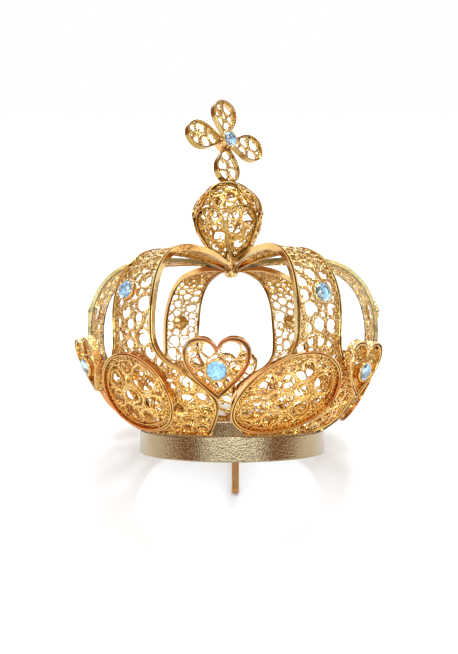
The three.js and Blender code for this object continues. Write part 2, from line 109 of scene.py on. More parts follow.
profile = np.vstack([bezier(curve, CURVE_STEPS, curve is PROFILE_CURVES[-1]) for curve in PROFILE_CURVES])
profile_steps = np.linalg.norm(np.diff(profile, axis=0), axis=1)
profile_distance = np.concatenate([[0], np.cumsum(profile_steps)])
PROFILE_LENGTH = profile_distance[-1]
profile_slope = np.gradient(profile, axis=0)
profile_tangent = profile_slope / np.linalg.norm(profile_slope, axis=1)[:, None]
print("profile length in mm:", round(PROFILE_LENGTH, 2))


def along_profile(distance, values):
    return np.interp(distance, profile_distance, values)


def off_the_wall(distance):
    """How far a unit of lift goes outward and upward, at distances along the profile."""
    return along_profile(distance, profile_tangent[:, 1]), -along_profile(distance, profile_tangent[:, 0])


def wall(meridian, flat):
    """Bends flat points over the crown: sideways, along the profile, and lifted off the wall."""
    flat = np.asarray(flat, float)
    radius, height = (along_profile(flat[:, 1], profile[:, k]) for k in (0, 1))
    out, up = off_the_wall(flat[:, 1])
    angle = meridian + flat[:, 0] / radius
    reach = radius + flat[:, 2] * out
    return np.stack([reach * np.sin(angle), -reach * np.cos(angle), height + flat[:, 2] * up], 1)


def distance_at_height(height):
    rising = profile_distance < PROFILE_LENGTH / 2
    return float(np.interp(height, profile[rising, 1], profile_distance[rising]))


# %% [markdown]
# A crown soldered by hand is a little uneven, and the eye notices when a copy is too regular. Each sector
# has an arch with a stone and then a heart, at its own angle from the front, with its own small offsets.

# %% Where the arches and hearts stand
SECTORS = [
    dict(arch=30, stone_aside=0, stone_up=0, heart=49.2, heart_up=0, petal_rim=1.9),
    dict(arch=89.5, stone_aside=0, stone_up=0, heart=116.6, heart_up=0, petal_rim=0.8),
    dict(arch=149.5, stone_aside=0, stone_up=0, heart=177.5, heart_up=0, petal_rim=1.9),
    dict(arch=206, stone_aside=0, stone_up=0, heart=232.8, heart_up=0, petal_rim=1.9),
    dict(arch=265.5, stone_aside=0, stone_up=0, heart=298, heart_up=1.4, petal_rim=0.8),
    dict(arch=324, stone_aside=-1.2, stone_up=1, heart=355.2, heart_up=0, petal_rim=1.9),
]
# Half the width of an arch at distances along the profile.
ARCH_OUTLINE = [
    (0, 10), (6.3, 15.1), (12.8, 18.2), (18.5, 14.3), (22.5, 8.8), (26.5, 6.5), (32, 6.3), (40, 6.3),
    (57, 5.1), (PROFILE_LENGTH - 12, 3.5), (PROFILE_LENGTH, 1),
]


def smooth_through(points, steps=24):
    """A smooth curve through the points, with the next and last point giving each its direction."""
    p = np.array([points[0], *points, points[-1]], float)
    pieces = []
    for a, b, c, d in zip(p, p[1:], p[2:], p[3:]):
        t = np.linspace(0, 1, steps, endpoint=False)[:, None]
        pieces.append(b + (c - a) / 2 * t + (2 * a - 5 * b + 4 * c - d) / 2 * t ** 2
                      + (3 * b - a - 3 * c + d) / 2 * t ** 3)
    return np.vstack([*pieces, p[-1:]])


arch_outline = smooth_through(ARCH_OUTLINE)


def meridian_of(number):
    return math.radians(SECTORS[number % 6]["arch"])


def gap_after(number):
    return (meridian_of(number + 1) - meridian_of(number)) % (2 * math.pi)


def half_widths(number, distance):
    """How far an arch reaches to its left and to its right, at distances along the profile."""
    wanted = np.interp(distance, arch_outline[:, 0], arch_outline[:, 1])
    radius = along_profile(distance, profile[:, 0])
    return [np.minimum(wanted, radius * gap / 2 - SOLDER_GAP / 2)
            for gap in (gap_after(number - 1), gap_after(number))]


# %% [markdown]
# Every material and wire below is a small network of nodes. One function adds a node, sets its fields and
# joins its inputs, and one turns the hex colours that people read from a screen into linear light.

# %% Nodes and colours
def add_node(tree, kind, inputs=None, **settings):
    """Adds a node with its settings. An input is a value, or the output socket that it is linked to."""
    node = tree.nodes.new(kind)
    for name, value in settings.items():
        setattr(node, name, value)
    for key, value in (inputs or {}).items():
        if isinstance(value, bpy.types.NodeSocket):
            tree.links.new(value, node.inputs[key])
        else:
            node.inputs[key].default_value = value
    return node


def linear(hex_colour):
    """An sRGB hex colour as linear red, green, blue and alpha."""
    parts = [int(hex_colour[k:k + 2], 16) / 255 for k in (1, 3, 5)]
    return (*[c / 12.92 if c <= 0.04045 else ((c + 0.055) / 1.055) ** 2.4 for c in parts], 1)


def per_mm(size):
    """The scale that gives a pattern features of a size in millimetres, on coordinates in metres."""
    return 1000 / size


# %% [markdown]
# The metal is brass under a thin layer of gold. Gold sends back red and yellow light better than blue, so
# light that bounces between two wires turns a deeper orange each time, which the render makes from the first
# colour. The filigree wire is two thin wires twisted together and rolled flat, which leaves a row of beads on
# its edge. The beads are about 0.6 mm apart and follow the wire, so the pattern reads how far along the wire
# it is, and a soft noise slips them a little. The grooves between the beads are painted darker, as shade. The
# gold is also painted deeper low on the leaves, and on the top and the ball, as painted shade for the orange
# of light bounced among the wires there, so every wire also reads how high up the crown it is.

# %% Gilt filigree wire, twisted and rolled
BEAD_PITCH, BEAD_SLIP, BEAD_DEPTH = 0.6, 4.0, 0.00013
CROSS_TOP_HEIGHT, UNEVEN_HEIGHT, UNEVEN_SIZE = 100, 6, 12
# Painted shade: the tint of the gold at heights in millimetres up the crown, deeper low down and on top.
SHADE_TINTS_BY_HEIGHT = [
    (22, "#FFEBC4"), (34, "#FFFFFF"), (48, "#FFFFFF"), (56, "#FFF3D2"), (72, "#FFF3D2"), (80, "#FFFFFF"),
]


def bare_metal(name):
    """A metal with its tree, its shader and the coordinates that its patterns read."""
    material = bpy.data.materials.new(name)
    material.use_nodes = True
    tree = material.node_tree
    tree.nodes.clear()
    shader = add_node(tree, "ShaderNodeBsdfPrincipled", {"Metallic": 1})
    add_node(tree, "ShaderNodeOutputMaterial", {"Surface": shader.outputs[0]})
    place = add_node(tree, "ShaderNodeTexCoord").outputs["Object"]
    return material, tree, shader, place


def colour_steps(tree, factor, stops):
    """Colours along a value from 0 to 1, each stop a place and a hex colour."""
    ramp = add_node(tree, "ShaderNodeValToRGB", {"Fac": factor})
    while len(ramp.color_ramp.elements) < len(stops):
        ramp.color_ramp.elements.new(0.5)
    for element, (place, colour) in zip(ramp.color_ramp.elements, stops):
        element.position = place
        element.color = linear(colour)
    return ramp.outputs["Color"]


def painted_shade_by_height(tree, plate, place):
    """Painted shade: a plate colour made deeper at the listed heights, for light bounced among the wires."""
    height = add_node(tree, "ShaderNodeAttribute", attribute_name="height").outputs["Fac"]
    uneven = add_node(tree, "ShaderNodeTexNoise", {"Vector": place, "Scale": per_mm(UNEVEN_SIZE)})
    moved = add_node(tree, "ShaderNodeMath", {0: uneven.outputs["Fac"], 1: UNEVEN_HEIGHT, 2: height},
                     operation="MULTIPLY_ADD")
    share = add_node(tree, "ShaderNodeMapRange", {"Value": moved.outputs[0], "From Max": CROSS_TOP_HEIGHT})
    stops = [(level / CROSS_TOP_HEIGHT, colour) for level, colour in SHADE_TINTS_BY_HEIGHT]
    tint = colour_steps(tree, share.outputs[0], stops)
    return add_node(tree, "ShaderNodeMix", {"Factor": 1.0, "A": plate, "B": tint}, data_type="RGBA",
                    blend_type="MULTIPLY").outputs["Result"]


def gilt_wire_material():
    material, tree, shader, place = bare_metal("gilt_brass_twisted_wire")
    along = add_node(tree, "ShaderNodeAttribute", attribute_name="along").outputs["Fac"]
    loose = add_node(tree, "ShaderNodeTexNoise", {"Vector": place, "Scale": per_mm(2.5)}).outputs["Fac"]
    uneven = add_node(tree, "ShaderNodeMath", {0: loose, 1: BEAD_SLIP, 2: along}, operation="MULTIPLY_ADD")
    turns = add_node(tree, "ShaderNodeMath", {0: uneven.outputs[0], 1: 2 * math.pi / BEAD_PITCH},
                     operation="MULTIPLY")
    wave = add_node(tree, "ShaderNodeMath", {0: turns.outputs[0]}, operation="SINE")
    bead = add_node(tree, "ShaderNodeMapRange", {"Value": wave.outputs[0], "From Min": -1.0, "From Max": 1.0})
    patches = add_node(tree, "ShaderNodeTexNoise", {"Vector": place, "Scale": per_mm(9), "Detail": 2.0})
    plate = colour_steps(tree, patches.outputs["Fac"],
                         [(0.35, "#FBE2A2"), (0.5, "#FFEEB8"), (0.68, "#F8DAA2")])
    # Painted shade: the grooves between the beads take a darker gold than the plate.
    groove_painted_shade = add_node(tree, "ShaderNodeMix", {"Factor": bead.outputs[0], "A": linear("#C79A45"), "B": plate},
                      data_type="RGBA")
    tree.links.new(painted_shade_by_height(tree, groove_painted_shade.outputs["Result"], place), shader.inputs["Base Color"])
    fine = add_node(tree, "ShaderNodeTexNoise", {"Vector": place, "Scale": per_mm(1.2), "Detail": 2.0})
    rough = add_node(tree, "ShaderNodeMapRange",
                     {"Value": fine.outputs["Fac"], "To Min": 0.02, "To Max": 0.26})
    tree.links.new(rough.outputs[0], shader.inputs["Roughness"])
    bump = add_node(tree, "ShaderNodeBump",
                    {"Height": wave.outputs[0], "Strength": 0.55, "Distance": BEAD_DEPTH})
    tree.links.new(bump.outputs[0], shader.inputs["Normal"])
    return material


# %% [markdown]
# The frames are bent from plain flat strip that stands on its edge. Strip comes smooth from the rolls, so it
# shows long clean reflections. It comes bright, and with a pink copper tone on the petals and the front
# heart, where the plating is thin. A darker copy and a deep olive copy of the strip are painted shade, for
# frames in shade or mirroring dark surroundings. A dark strip in the gap between two strips is painted shade
# too, and draws a thin line along the frames.

# %% Gilt strip, rolled smooth
def gilt_strip_material(name, thick, usual, thin):
    """Strip in three tones, for where its plating is thick, usual and thin."""
    material, tree, shader, place = bare_metal(name)
    worn = add_node(tree, "ShaderNodeTexNoise", {"Vector": place, "Scale": per_mm(16), "Detail": 3.0})
    plate = colour_steps(tree, worn.outputs["Fac"], [(0.36, thick), (0.5, usual), (0.64, thin)])
    tree.links.new(painted_shade_by_height(tree, plate, place), shader.inputs["Base Color"])
    fine = add_node(tree, "ShaderNodeTexNoise", {"Vector": place, "Scale": per_mm(0.9), "Detail": 3.0})
    rough = add_node(tree, "ShaderNodeMapRange",
                     {"Value": fine.outputs["Fac"], "To Min": 0.05, "To Max": 0.18})
    tree.links.new(rough.outputs[0], shader.inputs["Roughness"])
    bump = add_node(tree, "ShaderNodeBump",
                    {"Height": fine.outputs["Fac"], "Strength": 0.2, "Distance": 0.0001})
    tree.links.new(bump.outputs[0], shader.inputs["Normal"])
    return material


# %% [markdown]
# The band was cut from heavier brass sheet and plated over a surface that was only roughly polished. It has
# the fine dimples of orange peel, about 0.4 mm apart, which break its reflections into glitter.

# %% Gilt sheet for the band, and bare brass for the peg
PEEL_SIZE, PEEL_DEPTH = 0.42, 0.00012


def gilt_sheet_material():
    material, tree, shader, place = bare_metal("gilt_brass_sheet_orange_peel")
    dull = add_node(tree, "ShaderNodeTexNoise", {"Vector": place, "Scale": per_mm(11), "Detail": 3.0})
    plate = colour_steps(tree, dull.outputs["Fac"], [(0.35, "#94805F"), (0.6, "#A18C69")])
    tree.links.new(plate, shader.inputs["Base Color"])
    shader.inputs["Roughness"].default_value = 0.15
    peel = add_node(tree, "ShaderNodeTexNoise", {"Vector": place, "Scale": per_mm(PEEL_SIZE), "Detail": 2.0})
    bump = add_node(tree, "ShaderNodeBump",
                    {"Height": peel.outputs["Fac"], "Strength": 0.7, "Distance": PEEL_DEPTH})
    tree.links.new(bump.outputs[0], shader.inputs["Normal"])
    return material


def peg_material():
    material, tree, shader, place = bare_metal("brass_strip_copper_flash")
    tint = add_node(tree, "ShaderNodeTexNoise", {"Vector": place, "Scale": per_mm(4), "Detail": 3.0})
    plate = colour_steps(tree, tint.outputs["Fac"], [(0.35, "#AC7440"), (0.6, "#BF8E56")])
    tree.links.new(plate, shader.inputs["Base Color"])
    shader.inputs["Roughness"].default_value = 0.22
    return material


# %% [markdown]
# The stones are foil-backed glass rhinestones. Clear blue glass with a refractive index of 1.52 bends the
# light, and the creased foil in the cup under it sends it back in many directions. The values stay on the
# shader, so the glass is the same all through.

# %% Blue glass and its foil
CREASE_SIZE, CREASE_DEPTH = 0.9, 0.0006


def stone_material():
    material = bpy.data.materials.new("blue_glass_rhinestone")
    material.use_nodes = True
    shader = material.node_tree.nodes["Principled BSDF"]
    shader.inputs["Base Color"].default_value = linear("#CCEAFF")
    shader.inputs["Roughness"].default_value = 0.02
    shader.inputs["IOR"].default_value = 1.52
    shader.inputs["Transmission Weight"].default_value = 1
    return material


def foil_material():
    material, tree, shader, place = bare_metal("silver_foil_behind_stones")
    shader.inputs["Base Color"].default_value = linear("#F4FAFF")
    crease = add_node(tree, "ShaderNodeTexNoise", {"Vector": place, "Scale": per_mm(CREASE_SIZE)})
    bump = add_node(tree, "ShaderNodeBump",
                    {"Height": crease.outputs["Fac"], "Strength": 1.0, "Distance": CREASE_DEPTH})
    tree.links.new(bump.outputs[0], shader.inputs["Normal"])
    shader.inputs["Roughness"].default_value = 0.25
    return material


WIRE = gilt_wire_material()
STRIP = gilt_strip_material("gilt_brass_rolled_strip", "#DCC48C", "#DBB878", "#D2A268")
# Painted shade: a darker copy of the strip, for the cross's frames.
SHADED = gilt_strip_material("gilt_brass_strip_dulled", "#C2A66C", "#B59556", "#A8854A")
PATCHY = gilt_strip_material("gilt_brass_strip_patchy", "#DCC48C", "#D8AE74", "#CC8A5E")
# Painted shade: a deep olive copy of the strip, for the side arches' frames and a line in the ball's frames.
DEEP_SHADE_STRIP = gilt_strip_material("gilt_brass_strip_tarnished", "#8E7C54", "#806C44", "#705A38")
# Painted shade: a dark strip set in the gap between two strips.
GAP_SHADE = gilt_strip_material("tarnished_solder_seam", "#7A6038", "#6C5430", "#604A2C")
COPPERY = gilt_strip_material("gilt_brass_strip_copper_showing", "#D6AC74", "#CD9560", "#BF7A4C")
SHEET, PEG_BRASS = gilt_sheet_material(), peg_material()
GLASS, FOIL = stone_material(), foil_material()
print("materials:", len(bpy.data.materials))

# %% [markdown]
# Two kinds of small tree make all the wire. The first sweeps a flat strip, standing on edge, along every line
# that it is given, with sharp edges for wire and rounded ones for frames. The second puts a spiral on every
# point that it is given, sized by the point's own values and turned by a fixed seed, and sweeps the same kind
# of strip along it. Both write down how far along the wire each point is.

# %% The trees for strips and curls
STRIP_EDGE_RADIUS = 0.08
SOCKET_KINDS = {type(None): "NodeSocketMaterial", int: "NodeSocketInt", float: "NodeSocketFloat"}


def new_tree(name, sizes):
    """A tree that takes geometry and named sizes. A size of None stands for a material."""
    tree = bpy.data.node_groups.new(name, "GeometryNodeTree")
    tree.interface.new_socket("Geometry", in_out="INPUT", socket_type="NodeSocketGeometry")
    for label, value in sizes.items():
        socket = tree.interface.new_socket(label, in_out="INPUT", socket_type=SOCKET_KINDS[type(value)])
        if value is not None:
            socket.default_value = value
    tree.interface.new_socket("Geometry", in_out="OUTPUT", socket_type="NodeSocketGeometry")
    return tree, add_node(tree, "NodeGroupInput").outputs


def sweep_strip(tree, given, curve, rounded_edges):
    """Sweeps a strip that stands on edge along flat curves, and ends the tree."""
    upright = add_node(tree, "GeometryNodeSetCurveNormal", {"Curve": curve}, mode="Z_UP")
    length = add_node(tree, "GeometryNodeSplineParameter").outputs["Length"]
    marked = add_node(tree, "GeometryNodeStoreNamedAttribute",
                      {"Geometry": upright.outputs[0], "Name": "along", "Value": length}, data_type="FLOAT")
    section = add_node(tree, "GeometryNodeCurvePrimitiveQuadrilateral",
                       {"Width": given["Wire Width"], "Height": given["Wire Depth"]}).outputs[0]
    if rounded_edges:
        section = add_node(tree, "GeometryNodeFilletCurve",
                           {"Curve": section, "Radius": STRIP_EDGE_RADIUS}).outputs[0]
    swept = add_node(tree, "GeometryNodeCurveToMesh",
                     {"Curve": marked.outputs[0], "Profile Curve": section, "Fill Caps": True})
    real = add_node(tree, "GeometryNodeRealizeInstances", {"Geometry": swept.outputs[0]})
    done = add_node(tree, "GeometryNodeSetMaterial",
                    {"Geometry": real.outputs[0], "Material": given["Metal"]})
    add_node(tree, "NodeGroupOutput", {"Geometry": done.outputs[0]})


def strip_tree(name, rounded_edges):
    tree, given = new_tree(name, {"Wire Width": 0.3, "Wire Depth": 1.5, "Metal": None})
    lines = add_node(tree, "GeometryNodeMeshToCurve", {"Mesh": given["Geometry"]})
    sweep_strip(tree, given, lines.outputs[0], rounded_edges)
    return tree


def curl_tree():
    tree, given = new_tree("filigree curls", {"Wire Width": 0.3, "Wire Depth": 0.8, "Turns": 1.4, "Eye": 0.35,
                                              "Seed": 1, "Metal": None})
    spiral = add_node(tree, "GeometryNodeCurveSpiral", {"Resolution": 8, "Rotations": given["Turns"],
                                                        "Start Radius": given["Eye"], "End Radius": 1.0,
                                                        "Height": 0.0})
    size = add_node(tree, "GeometryNodeInputNamedAttribute", {"Name": "size"}, data_type="FLOAT")
    hand = add_node(tree, "GeometryNodeInputNamedAttribute", {"Name": "hand"}, data_type="FLOAT")
    mirrored = add_node(tree, "ShaderNodeMath", {0: size.outputs[0], 1: hand.outputs[0]},
                        operation="MULTIPLY")
    scale = add_node(tree, "ShaderNodeCombineXYZ", {"X": size.outputs[0], "Y": mirrored.outputs[0], "Z": 1.0})
    turn = add_node(tree, "FunctionNodeRandomValue", {"Min": (0.0, 0.0, 0.0), "Max": (0.0, 0.0, 2 * math.pi),
                                                      "Seed": given["Seed"]}, data_type="FLOAT_VECTOR")
    curls = add_node(tree, "GeometryNodeInstanceOnPoints",
                     {"Points": given["Geometry"], "Instance": spiral.outputs[0], "Rotation": turn.outputs[0],
                      "Scale": scale.outputs[0]})
    loose = add_node(tree, "GeometryNodeRealizeInstances", {"Geometry": curls.outputs[0]})
    sweep_strip(tree, given, loose.outputs[0], False)
    return tree


WIRE_TREE, STRIP_TREE = strip_tree("flat wire on edge", False), strip_tree("rounded strip on edge", True)
CURL_TREE = curl_tree()


def run_tree(tree, source, **sizes):
    """Runs a tree on a mesh, and gives its points, corners, face lengths and distances along the wire."""
    bench = bpy.data.objects.new("bench", source)
    bpy.context.scene.collection.objects.link(bench)
    modifier = bench.modifiers.new("wirework", "NODES")
    modifier.node_group = tree
    for item in tree.interface.items_tree:
        label = item.name.replace(" ", "_").lower()
        if item.in_out == "INPUT" and label in sizes:
            modifier[item.identifier] = sizes[label]
    mesh = bpy.data.meshes.new_from_object(bench.evaluated_get(bpy.context.evaluated_depsgraph_get()))
    points = np.zeros(3 * len(mesh.vertices), np.float32)
    mesh.vertices.foreach_get("co", points)
    corners = np.zeros(len(mesh.loops), np.int32)
    mesh.loops.foreach_get("vertex_index", corners)
    lengths = np.zeros(len(mesh.polygons), np.int32)
    mesh.polygons.foreach_get("loop_total", lengths)
    along = np.zeros(len(mesh.vertices), np.float32)
    if "along" in mesh.attributes:
        mesh.attributes["along"].data.foreach_get("value", along)
    bpy.data.objects.remove(bench)
    bpy.data.meshes.remove(mesh)
    bpy.data.meshes.remove(source)
    return points.reshape(-1, 3).astype(float), corners, lengths, along


# %% [markdown]
# A finished piece is several kinds of wire in one mesh, such as a frame, the dark strip of painted shade
# beside it, and its fill. The piece collects them, each already bent into place, and becomes one object at
# the end. A tally keeps its triangles and its volume: a volume above zero tells that its faces look outward.

# %% Collecting the parts of a piece
class Piece:
    def __init__(self, name, node, slot):
        self.name, self.node, self.slot = name, node, slot
        self.points, self.corners, self.lengths, self.along, self.kinds = [], [], [], [], []
        self.metals, self.smooth, self.count = [], [], 0

    def add(self, made, bend, smooth=False):
        (points, corners, lengths, along), material = made
        if material not in self.metals:
            self.metals.append(material)
        self.points.append(bend(points))
        self.corners.append(corners + self.count)
        self.lengths.append(lengths)
        self.along.append(along)
        self.kinds.append(np.full(len(lengths), self.metals.index(material), np.int32))
        self.smooth.append(np.full(len(lengths), smooth, bool))
        self.count += len(points)

    def finish(self):
        upright = np.vstack(self.points)
        points = on_table(upright)
        corners, lengths = np.concatenate(self.corners), np.concatenate(self.lengths)
        starts = np.concatenate([[0], np.cumsum(lengths)[:-1]])
        mesh = bpy.data.meshes.new(self.name)
        mesh.vertices.add(len(points))
        mesh.vertices.foreach_set("co", points.astype(np.float32).ravel())
        mesh.loops.add(len(corners))
        mesh.loops.foreach_set("vertex_index", corners.astype(np.int32))
        mesh.polygons.add(len(lengths))
        mesh.polygons.foreach_set("loop_start", starts.astype(np.int32))
        mesh.polygons.foreach_set("loop_total", lengths.astype(np.int32))
        mesh.polygons.foreach_set("material_index", np.concatenate(self.kinds))
        mesh.polygons.foreach_set("use_smooth", np.concatenate(self.smooth))
        for material in self.metals:
            mesh.materials.append(material)
        for label, values in (("along", np.concatenate(self.along)), ("height", upright[:, 2])):
            mesh.attributes.new(label, "FLOAT", "POINT").data.foreach_set("value", values.astype(np.float32))
        mesh.update(calc_edges=True)
        mesh.validate()
        piece = bpy.data.objects.new(self.name, mesh)
        bpy.context.scene.collection.objects.link(piece)
        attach(piece, "root")
        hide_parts(self.node)
        mesh.calc_loop_triangles()
        tally.append((self.name, len(mesh.loop_triangles), enclosed(mesh)))
        return piece


def enclosed(mesh):
    """The volume in cubic millimetres inside a mesh whose faces look outward."""
    points = np.zeros(3 * len(mesh.vertices), np.float32)
    mesh.vertices.foreach_get("co", points)
    faces = np.zeros(3 * len(mesh.loop_triangles), np.int32)
    mesh.loop_triangles.foreach_get("vertices", faces)
    a, b, c = (1000 * points.reshape(-1, 3).astype(float)[faces.reshape(-1, 3)[:, k]] for k in range(3))
    return float(np.einsum("ij,ij->i", a, np.cross(b, c)).sum() / 6)


tally = []

# %% [markdown]
# Lines come first. A line is a row of flat points, open or closed, and the strip tree sweeps them all at
# once. The strip stands between a lower and an upper lift above the surface that it is bent over.

# %% Strips along lines
def strips(lines, width, low, high, metal):
    """Flat strips that stand on edge along lines, each line a list of flat points and whether it closes."""
    points, edges = [], []
    for line, closed in lines:
        first, count = len(points), len(line)
        points += [(u, v, (low + high) / 2) for u, v in line]
        edges += [(first + k, first + (k + 1) % count) for k in range(count if closed else count - 1)]
    source = bpy.data.meshes.new("lines")
    source.from_pydata(points, edges, [])
    tree = WIRE_TREE if metal == WIRE else STRIP_TREE
    return run_tree(tree, source, wire_width=width, wire_depth=high - low, metal=metal), metal


# %% [markdown]
# The fill is the heart of filigree: rounds that touch one another and the frame. It is found as a maker finds
# it, by putting the largest curl where it just fits, then the next, until only gaps too small for a curl are
# left. Random spots with a fixed seed are tried, and each round takes the spot that it fits most tightly.

# %% Packing rounds into a frame
LEAST_OF_LARGEST, DENSE_SHARE, DENSE_FADE = 0.55, 0.55, 4


def inside(outline, spots):
    """Which spots lie inside a closed outline, by counting the edges that a line to the right crosses."""
    odd = np.zeros(len(spots), bool)
    for (x0, y0), (x1, y1) in zip(outline, np.roll(outline, -1, 0)):
        if y0 != y1:
            crosses = (y0 > spots[:, 1]) != (y1 > spots[:, 1])
            odd ^= crosses & (spots[:, 0] < x0 + (spots[:, 1] - y0) * (x1 - x0) / (y1 - y0))
    return odd


def pack_rounds(outline, largest, smallest, seed, keep_clear=(), tries=5000, covered=None, dense_from=None):
    """Rounds that touch one another and the outline, each a place and a radius. None starts in a covered
    outline, and those beyond dense_from are about half as large."""
    rng = np.random.default_rng(seed)
    spots = rng.uniform(outline.min(0), outline.max(0), (tries, 2))
    spots = spots[inside(outline, spots)]
    if covered is not None:
        spots = spots[~inside(covered, spots)]
    edges = np.linalg.norm(spots[:, None] - outline[None], axis=2)
    room = edges.min(1)
    for u, v, radius in keep_clear:
        room = np.minimum(room, np.linalg.norm(spots - (u, v), axis=1) - radius)
    if dense_from is not None:
        past = spots[:, 1] - dense_from
        room = np.minimum(room, largest * np.interp(past, [-DENSE_FADE, DENSE_FADE], [1, DENSE_SHARE]))
    rounds = []
    while len(room) and room.max() > smallest:
        wanted = min(room.max(), largest * rng.uniform(LEAST_OF_LARGEST, 1))
        best = int(np.argmin(np.where(room >= wanted, room, np.inf)))
        rounds.append((*spots[best], wanted))
        room = np.minimum(room, np.linalg.norm(spots - spots[best], axis=1) - wanted)
    return np.array(rounds).reshape(-1, 3)


# %% [markdown]
# The maker presses the curls into the frame until they lean on one another, so each round swells until it
# meets its neighbours, and its corners stay rounded. How far it reaches in each of sixteen directions is the
# nearest of three: the line halfway to a neighbour, the frame, and a limit. A high power mean blends them.

# %% Swelling the rounds
DIRECTIONS, BLEND_POWER, LEAST_SWELL, MOST_SWELL = 16, 9, 0.6, 1.45


def swollen(rounds, outline, keep_clear):
    """How far each round reaches in each direction."""
    turn = np.arange(DIRECTIONS) * 2 * math.pi / DIRECTIONS
    rays = np.stack([np.cos(turn), np.sin(turn)])
    others = np.vstack([rounds, np.array(keep_clear, float).reshape(-1, 3)])
    edge = np.roll(outline, -1, 0) - outline
    reaches = []
    for k, (u, v, radius) in enumerate(rounds):
        gap = others[:, :2] - (u, v)
        halfway = ((gap ** 2).sum(1) + radius ** 2 - others[:, 2] ** 2) / 2
        ahead = gap @ rays
        to_others = np.where(ahead > 1e-6, halfway[:, None] / np.maximum(ahead, 1e-6), np.inf)
        to_others[k] = np.inf
        start = outline - (u, v)
        across = rays[0][None] * edge[:, 1:] - rays[1][None] * edge[:, :1]
        across = np.where(np.abs(across) < 1e-9, 1e-9, across)
        ahead = (start[:, :1] * edge[:, 1:] - start[:, 1:] * edge[:, :1]) / across
        share = (start[:, :1] * rays[1] - start[:, 1:] * rays[0]) / across
        to_frame = np.where((ahead > 0) & (share >= 0) & (share <= 1), ahead, np.inf)
        nearest = np.vstack([to_others.min(0), to_frame.min(0), np.full(DIRECTIONS, radius * MOST_SWELL)])
        nearest = np.maximum(nearest, radius * LEAST_SWELL)
        reaches.append((nearest ** -BLEND_POWER).sum(0) ** (-1 / BLEND_POWER))
    return np.array(reaches)


# %% [markdown]
# The wire of a curl runs once round its swollen place and then turns inward and ends in a small hook. Some
# curls stop after one turn, and some wind on. A closer look at any filigree shows that no two are alike.

# %% Curls that fill their places
LOOP_STEPS = 14
TURNS_BEFORE_HOOK, HOOK_POWER = 0.8, 1.2
CLOSED_EYE, OPEN_EYES, INTO_NEIGHBOUR = 0.92, (0.3, 0.6), 0.1


def curl_line(place, reach, turns, eye, start, hand):
    """A flat line round a place, from a start angle to one hand, that ends nearer to the middle."""
    t = np.linspace(0, turns, round(LOOP_STEPS * turns) + 1)
    angle = start + hand * 2 * math.pi * t
    index = (angle / (2 * math.pi) * DIRECTIONS) % DIRECTIONS
    low = np.floor(index).astype(int)
    share = index - low
    radius = reach[low % DIRECTIONS] * (1 - share) + reach[(low + 1) % DIRECTIONS] * share
    hooked = (t - TURNS_BEFORE_HOOK) / max(turns - TURNS_BEFORE_HOOK, 0.01)
    inward = np.clip(hooked, 0, 1) ** HOOK_POWER
    radius = radius * (1 - (1 - eye) * inward)
    return np.stack([place[0] + radius * np.cos(angle), place[1] + radius * np.sin(angle)], 1)


def fill(piece, outline, rounds, bend, lift, width, depth, seed, keep_clear=(), winds=(1.0, 1.25, 1.4, 1.6)):
    """Fills an outline with curls, one in each round."""
    rng = np.random.default_rng(seed)
    lines = []
    for place, reach in zip(rounds, swollen(rounds, outline, keep_clear)):
        turns = rng.choice(winds)
        eye = CLOSED_EYE if turns == 1.0 else rng.uniform(*OPEN_EYES)
        start, hand = rng.uniform(0, 2 * math.pi), rng.choice((-1, 1))
        lines.append((curl_line(place, reach - width * INTO_NEIGHBOUR, turns, eye, start, hand), False))
    piece.add(strips(lines, width, lift - depth / 2, lift + depth / 2, WIRE), bend)


def small_curls(rounds, lift, width, depth, turns, eye, seed):
    """A round curl on each place, made by the tree that puts a spiral on every point."""
    source = bpy.data.meshes.new("rounds")
    source.from_pydata([(u, v, lift) for u, v, _ in rounds], [], [])
    hands = np.random.default_rng(seed).choice([-1.0, -0.8, 0.8, 1.0], len(rounds))
    for label, values in (("size", rounds[:, 2]), ("hand", hands)):
        source.attributes.new(label, "FLOAT", "POINT").data.foreach_set("value", values.astype(np.float32))
    return run_tree(CURL_TREE, source, wire_width=width, wire_depth=depth, turns=turns, eye=eye, seed=seed,
                    metal=WIRE), WIRE


# %% [markdown]
# Each arch is a broad leaf on the band that narrows to a ribbon over the top. Two strips side by side frame
# each edge, with a dark strip of painted shade in the gap between them. On the side arches both are
# shallower, and the frame strips are a deep olive painted shade. The curls fill what is between, and leave
# room for the setting. A row of small curls stands on the band, and a thin strip crosses each ribbon in an S.

# %% The six arches
PETAL_MIDDLE = distance_at_height(16.2)
# The petals of odd and even arches.
PETAL_SHAPES = [
    dict(middle=-5.7, half_width=11.8, half_height=10, slant=0.3),
    dict(middle=-1.6, half_width=10.4, half_height=10, slant=0),
]
PETAL_LOW = 0.15


def petal_line(shape, inset, steps=64):
    turn = np.linspace(0, 2 * math.pi, steps, endpoint=False)
    up = (shape["half_height"] - inset * shape["half_height"] / shape["half_width"]) * np.sin(turn)
    across = (shape["half_width"] - inset) * np.cos(turn) + shape["slant"] * up
    return np.stack([shape["middle"] + across, PETAL_MIDDLE + up], 1)


FRAME_WIDTH, FRAME_LOW, FRAME_HIGH = 0.24, -1.5, 0.1
TWIN_STEP, MOST_INSET, GAP_SHADE_HIGH = 0.66, 0.7, -0.3
# The rounds of a piece have a largest and a smallest radius, and its curls a lift, a width and a depth.
ARCH_ROUNDS, ARCH_CURLS, ARCH_TRIES = (2.1, 0.55), (-0.55, 0.36, 0.8), 9000
ARCH_STONE_HEIGHT, BEZEL_RADIUS, BEZEL_OVERLAP = 38.2, 2.6, 0.2
ARCH_STATIONS, COVERED_INSET, LACE_STOPS, DENSE_FROM = 90, 2.5, 5, 44
RIBBON_HALF_WIDTH, CROSSING_SWING = 5.4, 1.1
SIDE_ARCHES, SIDE_FRAME_LOW = (1, 4), -0.9
FOOT_HEIGHT, FOOT_CURL = 1, 0.55
# The thin lines in an S, for odd and even arches: from and to a distance along the profile, and from and to a
# share of the ribbon's half width.
CROSSING_LINES = [(24, 33, 0.9, -0.8), (22, 31, -0.2, 0.8)]


